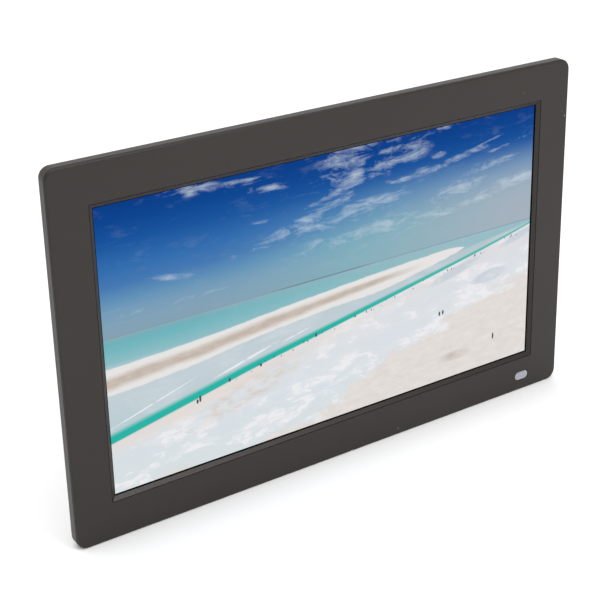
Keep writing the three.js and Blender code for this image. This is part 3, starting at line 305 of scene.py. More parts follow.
def add(tree, kind, inputs=(), out=0, stops=(), points=(), **settings):
    """Adds a node with its settings, fills or links its inputs, and gives back one output."""
    node = tree.nodes.new("ShaderNode" + kind)
    for name, value in settings.items():
        setattr(node, name, value)
    for place, value in dict(inputs).items():
        if isinstance(value, bpy.types.NodeSocket):
            tree.links.new(value, node.inputs[place])
        else:
            node.inputs[place].default_value = colour(value) if isinstance(value, str) else value
    if stops:
        ramp = node.color_ramp.elements
        while len(ramp) < len(stops):
            ramp.new(0.5)
        for element, (place, code) in zip(ramp, stops):
            element.position = place
            element.color = colour(code)
    if points:
        curve = node.mapping.curves[0]
        while len(curve.points) < len(points):
            curve.points.new(0.5, 0.5)
        for point, place in zip(curve.points, points):
            point.location = place
        node.mapping.update()
    return node.outputs[out]


def surface(name, **values):
    """A new material: the material, its tree, its main shader and the place on the object."""
    material = bpy.data.materials.new(name)
    material.use_nodes = True
    tree = material.node_tree
    shader = tree.nodes["Principled BSDF"]
    for place, value in values.items():
        shader.inputs[place.replace("_", " ")].default_value = value
    return material, tree, shader, add(tree, "TexCoord", out=3)


def feed(tree, shader, **values):
    """Links outputs into the main shader's inputs by their names."""
    for place, value in values.items():
        tree.links.new(value, shader.inputs[place.replace("_", " ")])


def grain_scale(millimetres):
    """A noise scale that gives features of this size, for places in metres."""
    return 1 / (millimetres * MM)


def moulded(name, code, other, grain, relief, rough, specular=0.5):
    """Moulded plastic: an even grain from the eroded mould and a faint cloudiness in its tone."""
    material, tree, shader, place = surface(name, IOR=1.53, Specular_IOR_Level=specular)
    cloud = add(tree, "TexNoise", {"Vector": place, "Scale": grain_scale(60), "Detail": 3.0})
    speckle = add(tree, "TexNoise", {"Vector": place, "Scale": grain_scale(grain), "Detail": 2.0})
    tone = add(tree, "Math", {0: cloud, 1: 0.7}, **TIMES)
    tone = add(tree, "Math", {0: speckle, 1: 0.3, 2: tone}, **TIMES_PLUS)
    mixed = add(tree, "Mix", {0: tone, 6: code, 7: other}, **BLEND)
    spread = add(tree, "MapRange", {0: speckle, 1: 0.3, 2: 0.7, 3: rough - 0.05, 4: rough + 0.05})
    bump = add(tree, "Bump", {"Height": speckle, "Strength": 0.35, "Distance": relief * MM})
    feed(tree, shader, Base_Color=mixed, Roughness=spread, Normal=bump)
    return material


def bare_metal(name, code, other, rough, pull=(1, 1, 12), grain=0.6, relief=0.02):
    """Bare or plated metal with the fine drawn lines that rolling leaves along it."""
    material, tree, shader, place = surface(name, Metallic=1.0)
    along = add(tree, "Mapping", {"Vector": place, "Scale": pull})
    lines = add(tree, "TexNoise", {"Vector": along, "Scale": grain_scale(grain), "Detail": 3.0})
    mixed = add(tree, "Mix", {0: lines, 6: code, 7: other}, **BLEND)
    spread = add(tree, "MapRange", {0: lines, 3: rough - 0.08, 4: rough + 0.12})
    bump = add(tree, "Bump", {"Height": lines, "Strength": 0.25, "Distance": relief * MM})
    feed(tree, shader, Base_Color=mixed, Roughness=spread, Normal=bump)
    return material


# ---- Finishes ---------------------------------------------------------------------------------
def shell_abs():
    """Warm charcoal ABS from a spark-eroded mould: satin, with a little dust and a broad soft sheen."""
    material = moulded("shell_abs_satin", "#282421", "#2f2b28", 0.9, 0.05, 0.38, 0.24)
    tree = material.node_tree
    shader = tree.nodes["Principled BSDF"]
    place = add(tree, "TexCoord", out=3)
    # Dust: one cell in ten holds a speck about 1 mm across. Real dust is finer, and wouldn't show.
    cells = {"Vector": place, "Scale": grain_scale(9)}
    near = add(tree, "TexVoronoi", cells)
    pick = add(tree, "TexWhiteNoise", {"Vector": add(tree, "TexVoronoi", cells, out=2)})
    rare = add(tree, "Math", {0: pick, 1: 0.90}, operation="GREATER_THAN")
    small = add(tree, "MapRange", {0: near, 1: 0.04, 2: 0.07, 3: 0.6, 4: 0.0})
    dust = add(tree, "Math", {0: rare, 1: small}, **TIMES)
    plain = shader.inputs["Base Color"].links[0].from_socket
    feed(tree, shader, Base_Color=add(tree, "Mix", {0: dust, 6: plain, 7: "#b9b2a8"}, **BLEND))
    return material


def window_plastic():
    """Milky polycarbonate over the receiver: smooth, pale grey, light sinks in a little."""
    material, tree, shader, place = surface("window_polycarbonate", Roughness=0.28, IOR=1.58)
    cloud = add(tree, "TexNoise", {"Vector": place, "Scale": grain_scale(4), "Detail": 2.0})
    feed(tree, shader, Base_Color=add(tree, "Mix", {0: cloud, 6: "#95979e", 7: "#a0a3aa"}, **BLEND))
    shader.inputs["Subsurface Weight"].default_value = 0.3
    shader.inputs["Subsurface Radius"].default_value = (2 * MM, 2 * MM, 2 * MM)
    shader.inputs["Subsurface Scale"].default_value = 1.0
    return material


def circuit_board():
    """Green solder mask on glass fibre: glossy, with the faint relief of the tracks beneath it."""
    material, tree, shader, place = surface("solder_mask_on_glass_fibre", Roughness=0.32, IOR=1.5)
    tracks = {"Vector": place, "Scale": grain_scale(4), "Randomness": 0.35}
    lanes = add(tree, "TexVoronoi", tracks, distance="CHEBYCHEV")
    edge = add(tree, "MapRange", {0: lanes, 1: 0.28, 2: 0.33}, **SMOOTH)
    mixed = add(tree, "Mix", {0: edge, 6: "#1c5a3b", 7: "#153f2b"}, **BLEND)
    bump = add(tree, "Bump", {"Height": edge, "Strength": 0.3, "Distance": 0.05 * MM})
    feed(tree, shader, Base_Color=mixed, Normal=bump)
    return material


def foam():
    """Matt black closed-cell foam: matt, with small open pits, each painted darker towards its deepest
    middle as shade.
    """
    material, tree, shader, place = surface("closed_cell_foam", Roughness=0.95)
    pit_depth_and_painted_shade = add(tree, "TexVoronoi", {"Vector": place, "Scale": grain_scale(0.8)})
    # Painted shade: the same mask that hollows each pit darkens its colour towards the middle of the pit.
    mixed = add(tree, "Mix", {0: pit_depth_and_painted_shade, 6: "#141414", 7: "#262625"}, **BLEND)
    bump = add(tree, "Bump", {"Height": pit_depth_and_painted_shade, "Strength": 0.6, "Distance": 0.2 * MM})
    feed(tree, shader, Base_Color=mixed, Normal=bump)
    return material


def rubber():
    """Matt black moulded rubber: soft, dull, ribbed across the foot against slipping."""
    material, tree, shader, place = surface("moulded_rubber", Roughness=0.85)
    # A wave turns through 20 radians in a unit, so this scale sets the ribs about 4 mm apart.
    ribs = {"Vector": place, "Scale": grain_scale(2) / math.tau, "Distortion": 0.0}
    waves = add(tree, "TexWave", ribs, out=1, bands_direction="Y")
    wear = add(tree, "TexNoise", {"Vector": place, "Scale": grain_scale(3), "Detail": 3.0})
    mixed = add(tree, "Mix", {0: wear, 6: "#141414", 7: "#242322"}, **BLEND)
    bump = add(tree, "Bump", {"Height": waves, "Strength": 0.5, "Distance": 0.3 * MM})
    feed(tree, shader, Base_Color=mixed, Normal=bump)
    return material


def light_guide_acrylic():
    """Clear polished acrylic with a fine printed dot pattern that lets the light out."""
    material, tree, shader, place = surface("polished_acrylic", Roughness=0.06, IOR=1.49)
    dots = add(tree, "TexVoronoi", {"Vector": place, "Scale": grain_scale(1.5), "Randomness": 0.0})
    dot = add(tree, "MapRange", {0: dots, 1: 0.2, 2: 0.25})
    feed(tree, shader, Base_Color=add(tree, "Mix", {0: dot, 6: "#f2f4f5", 7: "#d3dde2"}, **BLEND))
    return material


def film(name, code, other, rough):
    """Thin polymer film: even, slightly waxy, with broad faint waves from handling."""
    material, tree, shader, place = surface(name, Roughness=rough, IOR=1.55)
    waves = add(tree, "TexNoise", {"Vector": place, "Scale": grain_scale(25), "Detail": 1.0})
    mixed = add(tree, "Mix", {0: waves, 6: code, 7: other}, **BLEND)
    bump = add(tree, "Bump", {"Height": waves, "Strength": 0.2, "Distance": 0.2 * MM})
    feed(tree, shader, Base_Color=mixed, Normal=bump)
    return material


def key_print():
    """Pale grey pad-printed ink: thin, matt, slightly mottled."""
    return moulded("pad_printed_ink", "#a9a9a6", "#bdbdb9", 0.5, 0.02, 0.6)


# ---- The picture on the display ---------------------------------------------------------------
# A salt shore under a blue sky. u runs left to right and v top to bottom, both from 0 to 1. A line
# across it is a list of (u, v), and an oval is its middle, its half size and its tilt in degrees.
PICTURE_ASPECT = PICTURE_WIDTH / PICTURE_HEIGHT
HORIZON = 0.443

# Clouds: middle (u, v), half size (u, v), tilt, how solid.
CLOUDS = [
    (0.185, 0.010, 0.075, 0.030, -6, 0.85),
    (0.340, 0.066, 0.062, 0.020, -8, 1.25),
    (0.300, 0.030, 0.070, 0.016, -4, 0.60),
    (0.520, 0.050, 0.090, 0.090, 20, 0.95),
    (0.545, 0.105, 0.050, 0.055, 35, 1.35),
    (0.480, 0.155, 0.070, 0.016, 14, 0.95),
    (0.640, 0.075, 0.110, 0.060, 8, 0.85),
    (0.560, 0.000, 0.140, 0.040, 0, 0.80),
    (0.440, 0.215, 0.130, 0.030, 14, 0.90),
    (0.390, 0.250, 0.150, 0.022, 8, 0.85),
    (0.540, 0.235, 0.170, 0.045, 5, 0.80),
    (0.640, 0.205, 0.080, 0.020, 12, 0.80),
    (0.665, 0.155, 0.090, 0.016, 4, 0.90),
    (0.800, 0.130, 0.120, 0.016, 10, 0.75),
    (0.910, 0.130, 0.090, 0.008, 10, 0.75),
    (0.870, 0.098, 0.060, 0.006, 12, 0.70),
    (0.740, 0.110, 0.070, 0.016, 20, 0.60),
    (0.900, 0.183, 0.070, 0.022, 8, 0.90),
    (0.860, 0.305, 0.170, 0.022, 6, 1.05),
    (0.960, 0.270, 0.150, 0.030, 6, 1.10),
    (0.790, 0.260, 0.120, 0.060, 24, 0.75),
    (0.560, 0.320, 0.230, 0.060, 0, 0.55),
    (0.140, 0.290, 0.060, 0.014, -10, 0.60),
    (0.330, 0.181, 0.025, 0.009, -6, 0.70),
    (0.150, 0.378, 0.140, 0.012, 0, 0.45),
    (0.740, 0.010, 0.090, 0.014, 4, 0.60),
]

CHANNEL = [(0, 0.800), (0.1, 0.765), (0.2, 0.730), (0.3, 0.694), (0.45, 0.647), (0.55, 0.615)]
CHANNEL += [(0.65, 0.583), (0.78, 0.541), (0.9, 0.500), (1, 0.461)]
SPIT_TOP = [(0, 0.549), (0.2, 0.535), (0.4, 0.508), (0.6, 0.486), (0.7, 0.478), (0.79, 0.475)]
SPIT_TOP += [(0.82, 0.482), (0.84, 0.51), (0.86, 0.60)]
SPIT_CREST = [(0, 0.602), (0.2, 0.577), (0.4, 0.545), (0.5, 0.530), (0.6, 0.518), (0.7, 0.507), (1, 0.50)]
FOOT_OF_BAR = [(0, 0.643), (0.15, 0.627), (0.3, 0.595), (0.4, 0.578), (0.5, 0.566), (0.6, 0.559)]
FOOT_OF_BAR += [(0.7, 0.531), (0.75, 0.516), (0.79, 0.500)]
SPIT_FOOT = FOOT_OF_BAR + [(0.82, 0.485), (0.86, 0.44), (1, 0.40)]
WET_EDGE = FOOT_OF_BAR + [(0.9, 0.478), (1, 0.456)]  # where the flats start, past the spit's tip too
SAND_EDGE = [(0, 1.0), (0.4, 0.99), (0.5, 0.93), (0.6, 0.855), (0.7, 0.79), (0.8, 0.735)]
SAND_EDGE += [(0.9, 0.69), (1, 0.66)]
FOAM_LINES = [(0.085, 0.719, 0.110, 0.0035, 16), (0.290, 0.664, 0.085, 0.0055, 14)]
FOAM_LINES += [(0.405, 0.627, 0.040, 0.003, 12)]
POOLS = [(0.89, 0.628, 0.055, 0.030, 4), (0.80, 0.570, 0.085, 0.022, 14), (0.97, 0.50, 0.06, 0.02, 16)]

# Plain dark ovals on the shore, in place of distant figures: middle (u, v) and half height.
SPECKS = [(0.181, 0.761, 0.010), (0.187, 0.754, 0.015), (0.758, 0.723, 0.011), (0.767, 0.721, 0.011)]
SPECKS += [(0.906, 0.888, 0.016), (0.252, 0.719, 0.009), (0.322, 0.700, 0.008), (0.450, 0.653, 0.009)]
SPECK_WIDTH = 0.0027


def oval(tree, flat, u, v, wide, high, tilt):
    """1 in the middle of a tilted oval, falling evenly to 0 at its edge."""
    place = {
        "Vector": flat,
        "Location": (u * PICTURE_ASPECT, v, 0),
        "Rotation": (0, 0, math.radians(-tilt)),
        "Scale": (wide * PICTURE_ASPECT, high, 1),
    }
    return add(tree, "TexGradient", {"Vector": add(tree, "Mapping", place, vector_type="TEXTURE")}, **OVAL)


def patch(tree, flat, u, v, wide, high, tilt=0, hard=1.6):
    """An oval patch of ground that fades at its edge."""
    return add(tree, "Math", {0: oval(tree, flat, u, v, wide, high, tilt), 1: hard}, **OVERLAP)


def wisps(tree, flat):
    """Fine torn cloud texture, drawn out along the wind."""
    drawn = {"Vector": flat, "Rotation": (0, 0, math.radians(16)), "Scale": (3.0, 13.0, 1)}
    along = add(tree, "Mapping", drawn)
    torn = {"Vector": along, "Scale": 2.2, "Detail": 10.0, "Roughness": 0.7, "Distortion": 0.45}
    torn = add(tree, "TexNoise", torn, **FLAT_NOISE)
    fluffy = {"Vector": flat, "Scale": 16.0, "Detail": 6.0, "Roughness": 0.65}
    share = add(tree, "Math", {0: add(tree, "TexNoise", fluffy, **FLAT_NOISE), 1: 0.28}, **TIMES)
    return add(tree, "Math", {0: torn, 1: 0.72, 2: share}, **TIMES_PLUS)


def clouds(tree, flat):
    """How much cloud covers the sky, from the list of clouds and the torn texture."""
    texture = wisps(tree, flat)
    cover = None
    for *place, solid in CLOUDS:
        body = add(tree, "Math", {0: oval(tree, flat, *place), 1: 0.95 * solid}, **TIMES)
        pair = {0: cover, 1: body, 2: 0.05}
        cover = body if cover is None else add(tree, "Math", pair, operation="SMOOTH_MAX")
    torn = add(tree, "Math", {0: texture, 1: 5.4, 2: -2.86}, **TIMES_PLUS)
    edge = add(tree, "Math", {0: cover, 1: 0.14}, **MINUS)
    held = add(tree, "MapRange", {0: cover, 1: 0.0, 2: 0.25})
    torn = add(tree, "Math", {0: torn, 1: held, 2: edge}, **TIMES_PLUS)
    return add(tree, "MapRange", {0: torn, 1: -0.1, 2: 1.3})


def sky(tree, u, v, flat):
    """Deep blue overhead, paling to haze at the horizon and towards the right, with clouds."""
    stops = [(0.000, "#003a86"), (0.060, "#04448f"), (0.130, "#15549d"), (0.210, "#306cae")]
    stops += [(0.270, "#4478b2"), (0.320, "#5f90b7"), (0.360, "#769cb9"), (0.400, "#80a1b7")]
    stops += [(0.445, "#85a1b3")]
    blue = add(tree, "ValToRGB", {0: v}, stops=stops)
    right = add(tree, "MapRange", {0: u, 1: 0.45, 2: 1.05}, **SMOOTH)
    low = add(tree, "MapRange", {0: v, 1: 0.10, 2: 0.36}, **SMOOTH)
    haze = add(tree, "Math", {0: right, 1: low}, **TIMES)
    middle = add(tree, "MapRange", {0: u, 1: 0.2, 2: 0.65}, **SMOOTH)
    middle = add(tree, "Math", {0: middle, 1: low}, **TIMES)
    cover = clouds(tree, flat)
    layers = [(middle, 0.62, "#84b8bf"), (haze, 0.80, "#adb2be"), (cover, 0.82, "#c3d1dc")]
    for amount, share, code in layers:
        part = add(tree, "Math", {0: amount, 1: share}, **TIMES)
        blue = add(tree, "Mix", {0: part, 6: blue, 7: code}, **BLEND)
    return blue


def shoreline(tree, u, places, ragged=None, amount=0.0):
    """A line across the picture: its height v at a few places u, made ragged by a texture."""
    height = add(tree, "FloatCurve", {1: u}, points=places)
    if ragged is None:
        return height
    offset = add(tree, "Math", {0: ragged, 1: 0.5}, **MINUS)
    return add(tree, "Math", {0: offset, 1: amount, 2: height}, **TIMES_PLUS)


def below(tree, v, line, soft=0.004):
    """1 below a line and 0 above it, over a soft edge."""
    past = add(tree, "Math", {0: v, 1: line}, **MINUS)
    return add(tree, "MapRange", {0: past, 1: -soft, 2: soft}, **SMOOTH)


def ground_textures(tree, flat):
    """Coarse and fine textures that lie flat on the ground, foreshortened towards the horizon."""
    drawn = {"Vector": flat, "Rotation": (0, 0, math.radians(9)), "Scale": (3.0, 8.0, 1)}
    along = add(tree, "Mapping", drawn)
    patchy = {"Vector": along, "Scale": 1.5, "Detail": 8.0, "Roughness": 0.62, "Distortion": 0.25}
    streaky = {"Vector": along, "Scale": 5.5, "Detail": 7.0, "Roughness": 0.65, "Distortion": 0.1}
    return [add(tree, "TexNoise", texture, **FLAT_NOISE) for texture in (patchy, streaky)]


def water(tree, u, v, fine):
    """Turquoise shallows, paler towards the horizon, the shore and the right."""
    stops = [(0.445, "#86aab6"), (0.462, "#6eb0ba"), (0.49, "#74b6be"), (0.53, "#8cbcc4"), (0.56, "#b5d0d8")]
    depth = add(tree, "ValToRGB", {0: v}, stops=stops)
    right = add(tree, "MapRange", {0: u, 1: 0.15, 2: 0.8, 4: 0.75})
    ripple = add(tree, "MapRange", {0: fine, 1: 0.3, 2: 0.7, 3: -0.06, 4: 0.06})
    share = add(tree, "Math", {0: right, 1: ripple}, operation="ADD", use_clamp=True)
    return add(tree, "Mix", {0: share, 6: depth, 7: "#a2c0c9"}, **BLEND)


def spit(tree, u, v, under, coarse, fine):
    """A white bar of salt with a tan crest, thinning to a tip."""
    top = below(tree, v, shoreline(tree, u, SPIT_TOP, fine, 0.008), 0.003)
    past_foot = below(tree, v, shoreline(tree, u, SPIT_FOOT, fine, 0.012))
    bar = add(tree, "Math", {0: top, 1: add(tree, "Math", {0: 1.0, 1: past_foot}, **MINUS)}, **OVERLAP)
    ground = add(tree, "Mix", {0: bar, 6: under, 7: "#e6e4e2"}, **BLEND)
    away = add(tree, "Math", {0: v, 1: shoreline(tree, u, SPIT_CREST, coarse, 0.02)}, **MINUS)
    away = add(tree, "Math", {0: away}, operation="ABSOLUTE")
    wide = add(tree, "MapRange", {0: u, 1: 0.0, 2: 0.75, 3: 0.030, 4: 0.012})
    near = add(tree, "Math", {0: away, 1: wide}, operation="DIVIDE")
    tan = add(tree, "MapRange", {0: near, 1: 0.2, 2: 1.2, 3: 1.0, 4: 0.0}, **SMOOTH)
    spotty = add(tree, "MapRange", {0: fine, 1: 0.3, 2: 0.6, 3: 0.75, 4: 1.0})
    tan = add(tree, "Math", {0: tan, 1: spotty}, **OVERLAP)
    ends = add(tree, "MapRange", {0: u, 1: 0.60, 2: 0.72, 3: 1.0, 4: 0.0})
    tan = add(tree, "Math", {0: tan, 1: add(tree, "Math", {0: ends, 1: bar}, **OVERLAP)}, **OVERLAP)
    return add(tree, "Mix", {0: tan, 6: ground, 7: "#c2b4a9"}, **BLEND)


def flats(tree, v, flat, coarse, fine):
    """Pale wet ground between the spit and the channel, with thin lines of foam."""
    stops = [(0.46, "#b2c3ca"), (0.55, "#bccad1"), (0.65, "#c3cfd6"), (0.75, "#bacdd3")]
    ground = add(tree, "ValToRGB", {0: v}, stops=stops)
    lighter = add(tree, "MapRange", {0: coarse, 1: 0.5, 2: 0.7, 4: 0.35})
    ground = add(tree, "Mix", {0: lighter, 6: ground, 7: "#dde2e6"}, **BLEND)
    broken = add(tree, "MapRange", {0: fine, 1: 0.36, 2: 0.50})
    for place in FOAM_LINES:
        line = add(tree, "Math", {0: patch(tree, flat, *place, 2.5), 1: broken}, **OVERLAP)
        ground = add(tree, "Mix", {0: line, 6: ground, 7: "#e9ecef"}, **BLEND)
    return ground


def salt(tree, u, v, flat, coarse, fine):
    """White salt in ridges over pale wet ground, browner along the channel's bank."""
    stops = [(0.50, "#dcdee4"), (0.70, "#dfe2e7"), (0.85, "#dbe1e6"), (1.0, "#d8e0e4")]
    ground = add(tree, "ValToRGB", {0: v}, stops=stops)
    wet = add(tree, "MapRange", {0: coarse, 1: 0.52, 2: 0.40, 4: 0.35})
    ridge = add(tree, "MapRange", {0: coarse, 1: 0.515, 2: 0.55}, **SMOOTH)
    crust = add(tree, "MapRange", {0: fine, 1: 0.44, 2: 0.54, 3: 0.15, 4: 1.0})
    ridge = add(tree, "Math", {0: ridge, 1: crust}, **OVERLAP)
    bank = add(tree, "Math", {0: v, 1: shoreline(tree, u, CHANNEL, coarse, 0.10)}, **MINUS)
    bank = add(tree, "MapRange", {0: bank, 1: 0.075, 2: 0.035})
    narrow = add(tree, "MapRange", {0: u, 1: 0.30, 2: 0.60, 3: 1.0, 4: 0.35})
    bank = add(tree, "Math", {0: bank, 1: narrow}, **OVERLAP)
    brown = add(tree, "MapRange", {0: fine, 1: 0.40, 2: 0.66, 4: 0.9})
    brown = add(tree, "Math", {0: brown, 1: patch(tree, flat, 0.29, 0.785, 0.16, 0.060, 16, 2.0)}, **OVERLAP)
    for share, code in [(wet, "#d0dadf"), (ridge, "#ececef"), (bank, "#e2dbd7"), (brown, "#d8cdc6")]:
        ground = add(tree, "Mix", {0: share, 6: ground, 7: code}, **BLEND)
    return ground


def near_shore(tree, u, v, flat, coarse, fine):
    """The near shore: salt, sand at the lower right, and shallow pools."""
    ground = salt(tree, u, v, flat, coarse, fine)
    sand = below(tree, v, shoreline(tree, u, SAND_EDGE, coarse, 0.22), 0.025)
    tones = add(tree, "MapRange", {0: fine, 1: 0.25, 2: 0.75})
    sandy = add(tree, "Mix", {0: tones, 6: "#dbd5d1", 7: "#e6e1dd"}, **BLEND)
    darker = add(tree, "Math", {0: patch(tree, flat, 0.80, 0.915, 0.05, 0.025, 0, 1.5), 1: tones}, **OVERLAP)
    sandy = add(tree, "Mix", {0: darker, 6: sandy, 7: "#b9b0a9"}, **BLEND)
    ground = add(tree, "Mix", {0: sand, 6: ground, 7: sandy}, **BLEND)
    ragged = add(tree, "MapRange", {0: coarse, 1: 0.40, 2: 0.50, 3: 0.2, 4: 1.0})
    for place in POOLS:
        pool = add(tree, "Math", {0: patch(tree, flat, *place, 2.4), 1: ragged}, **OVERLAP)
        ground = add(tree, "Mix", {0: pool, 6: ground, 7: "#cad1da"}, **BLEND)
    return ground


def far_specks(tree, u, v, flat, line):
    """Small dark specks along the channel's near bank and on the shore, with no shape of their own."""
    cells = {"Vector": add(tree, "Mapping", {"Vector": flat, "Scale": (1, 0.4, 1)}), "Scale": 75.0}
    near = add(tree, "TexVoronoi", cells, voronoi_dimensions="2D")
    pick = add(tree, "TexVoronoi", cells, out=1, voronoi_dimensions="2D")
    rare = add(tree, "Math", {0: pick, 1: 0.55}, operation="GREATER_THAN")
    dot = add(tree, "MapRange", {0: near, 1: 0.10, 2: 0.16, 3: 1.0, 4: 0.0})
    marks = add(tree, "Math", {0: dot, 1: rare}, **OVERLAP)
    past = add(tree, "Math", {0: v, 1: line}, **MINUS)
    bank = add(tree, "MapRange", {0: past, 1: 0.004, 2: 0.006})
    shore = add(tree, "MapRange", {0: past, 1: 0.022, 2: 0.020})
    marks = add(tree, "Math", {0: marks, 1: add(tree, "Math", {0: bank, 1: shore}, **OVERLAP)}, **OVERLAP)
    from_left = add(tree, "MapRange", {0: u, 1: 0.24, 2: 0.26})
    marks = add(tree, "Math", {0: marks, 1: from_left}, **OVERLAP)
    for middle_u, middle_v, high in SPECKS:
        speck = patch(tree, flat, middle_u, middle_v, SPECK_WIDTH, high, 0, 3)
        marks = add(tree, "Math", {0: marks, 1: speck}, operation="MAXIMUM")
    return marks


def teal_channel(tree, u, v, line, under):
    """The narrow teal channel, thinning to the right, soft above and crisp below."""
    width = add(tree, "MapRange", {0: u, 3: 0.018, 4: 0.0035})
    past = add(tree, "Math", {0: v, 1: line}, **MINUS)
    across = add(tree, "Math", {0: past, 1: width}, operation="DIVIDE")
    upper = add(tree, "MapRange", {0: across, 1: -1.7, 2: -0.3}, **SMOOTH)
    lower = add(tree, "MapRange", {0: across, 1: 1.15, 2: 0.7}, **SMOOTH)
    paler = add(tree, "MapRange", {0: u, 1: 0.5, 2: 1.0})
    teal = add(tree, "Mix", {0: paler, 6: "#27b3a6", 7: "#5cb9b4"}, **BLEND)
    inside = add(tree, "Math", {0: upper, 1: lower}, **OVERLAP)
    return add(tree, "Mix", {0: inside, 6: under, 7: teal}, **BLEND)


def shore_picture(tree, place):
    """The whole picture as a colour, for places in metres on the glass."""
    x = add(tree, "SeparateXYZ", {0: place})
    z = x.node.outputs[2]
    half_width, half_height = PICTURE_WIDTH / 2 * MM, PICTURE_HEIGHT / 2 * MM
    u = add(tree, "MapRange", {0: x, 1: -half_width, 2: half_width}, clamp=False)
    v = add(tree, "MapRange", {0: z, 1: MIDDLE_Z + half_height, 2: MIDDLE_Z - half_height}, clamp=False)
    wide = add(tree, "Math", {0: u, 1: PICTURE_ASPECT}, **TIMES)
    flat = add(tree, "CombineXYZ", {0: wide, 1: v})
    coarse, fine = ground_textures(tree, flat)
    sea = below(tree, v, HORIZON, 0.0012)
    scene = add(tree, "Mix", {0: sea, 6: sky(tree, u, v, flat), 7: water(tree, u, v, fine)}, **BLEND)
    far_shore = add(tree, "Math", {0: v, 1: HORIZON}, **MINUS)
    far_shore = add(tree, "Math", {0: far_shore}, operation="ABSOLUTE")
    far_shore = add(tree, "MapRange", {0: far_shore, 1: 0.0010, 2: 0.0032, 3: 0.75, 4: 0.0})
    dark_land = patch(tree, flat, 0.47, HORIZON, 0.12, 0.02, 0, 3.0)
    land = add(tree, "Mix", {0: dark_land, 6: "#7f9dab", 7: "#5e7683"}, **BLEND)
    scene = add(tree, "Mix", {0: far_shore, 6: scene, 7: land}, **BLEND)
    # The spit lies over the water, and the wet flats start under its near edge.
    wet = below(tree, v, shoreline(tree, u, WET_EDGE), 0.006)
    scene = add(tree, "Mix", {0: wet, 6: scene, 7: flats(tree, v, flat, coarse, fine)}, **BLEND)
    scene = spit(tree, u, v, scene, coarse, fine)
    line = shoreline(tree, u, CHANNEL)
    shore = {0: below(tree, v, line, 0.002), 6: scene, 7: near_shore(tree, u, v, flat, coarse, fine)}
    scene = teal_channel(tree, u, v, line, add(tree, "Mix", shore, **BLEND))
    return add(tree, "Mix", {0: far_specks(tree, u, v, flat, line), 6: scene, 7: "#4a4f55"}, **BLEND)


def display_glass():
    """Coated display glass, lit from behind: it hardly reflects, and its unlit border is black."""
    finish = {"Roughness": 0.25, "IOR": 1.5, "Specular_IOR_Level": 0.02, "Emission_Strength": 1.0}
    material, tree, shader, place = surface("coated_display_glass", **finish)
    picture = shore_picture(tree, place)
    x = add(tree, "SeparateXYZ", {0: place})
    across = add(tree, "Math", {0: x}, operation="ABSOLUTE")
    up = add(tree, "Math", {0: x.node.outputs[2], 1: MIDDLE_Z}, **MINUS)
    up = add(tree, "Math", {0: up}, operation="ABSOLUTE")
    inside_x = add(tree, "Math", {0: across, 1: PICTURE_WIDTH / 2 * MM}, operation="LESS_THAN")
    inside_z = add(tree, "Math", {0: up, 1: PICTURE_HEIGHT / 2 * MM}, operation="LESS_THAN")
    inside = add(tree, "Math", {0: inside_x, 1: inside_z}, **OVERLAP)
    facing = add(tree, "SeparateXYZ", {0: add(tree, "NewGeometry", out=3)}, out=1)
    front = add(tree, "Math", {0: facing, 1: -0.9}, operation="LESS_THAN")
    lit = add(tree, "Math", {0: inside, 1: front}, **OVERLAP)
    black = add(tree, "Mix", {0: lit, 6: "#0b0b0c", 7: "#020202"}, **BLEND)
    glow = add(tree, "Mix", {0: lit, 6: "#000000", 7: picture}, **BLEND)
    feed(tree, shader, Base_Color=black, Emission_Color=glow)
    return material


# ---- Front shell ------------------------------------------------------------------------------
def at_inset(inset, depth, radius):
    """The object's outline brought in by an inset, at a depth."""
    return rounded(SHELL.width - 2 * inset, SHELL.height - 2 * inset, radius), depth


def front_shell():
    """The moulded front in one ring: skirt, groove, rounded edge, border, seam, chamfer and lip."""
    def around(inset, depth):
        """The shell's outline, whose corners keep one centre."""
        return at_inset(inset, depth, CORNER_RADIUS - inset)

    def opening(grow, depth):
        """The display opening's outline, larger all round."""
        return rounded(LIP_WIDTH + 2 * grow, LIP_HEIGHT + 2 * grow, 0.25 + grow / 20), depth

    back_round = 0.25
    inside = [around(SKIRT_WALL, FACE_WALL), around(SKIRT_WALL, SHELL.back)]
    skirt = [around(*place) for place in reversed(fillet(back_round, SHELL.back - back_round, 1))]
    line_back = EDGE_ROUND + LINE_WIDTH
    groove = [(0, line_back), (LINE_CUT, line_back), (LINE_CUT, EDGE_ROUND)]
    front = [around(*place) for place in groove + fillet(EDGE_ROUND, EDGE_ROUND, -1, 8)]
    seam = CHAMFER_WIDTH + SEAM_WIDTH
    mouth = [
        opening(seam, 0),
        opening(seam, SEAM_CUT),
        opening(CHAMFER_WIDTH, SEAM_CUT),
        opening(CHAMFER_WIDTH, CHAMFER_STEP),
        opening(0.2, LIP_DEPTH - 0.12),
        opening(0, LIP_DEPTH + 0.05),
        opening(0, FACE_WALL),
    ]
    piece = loft("front_shell", inside + skirt + front + mouth, ring=True)
    return combine(piece, [window_hole(), grip_notch(), *side_slots()])


def window_hole():
    """The slot for the receiver's window, with a fine chamfer at the face."""
    chamfer = 0.25
    width, height = WINDOW_WIDTH + 2 * FIT_GAP, WINDOW_HEIGHT + 2 * FIT_GAP
    slot = rounded(width, height, height / 2, WINDOW.x, WINDOW.y)
    wide = rounded(
        width + 2 * chamfer, height + 2 * chamfer, (height + 2 * chamfer) / 2, WINDOW.x, WINDOW.y
    )
    return loft("window_hole", [(wide, -1), (wide, 0), (slot, chamfer), (slot, FACE_WALL + 1)])


def grip_notch():
    """The fingernail notch in the lower edge."""
    base = SHELL.low
    side, tip = NOTCH_WIDTH / 2, NOTCH_TIP / 2
    outline = [(NOTCH_X + side, base - 1), (NOTCH_X + side, base), (NOTCH_X + tip, base + NOTCH_HEIGHT)]
    outline += [(2 * NOTCH_X - x, y) for x, y in reversed(outline)]
    return loft("grip_notch", [(outline, -1), (outline, SHELL.back + 1)])


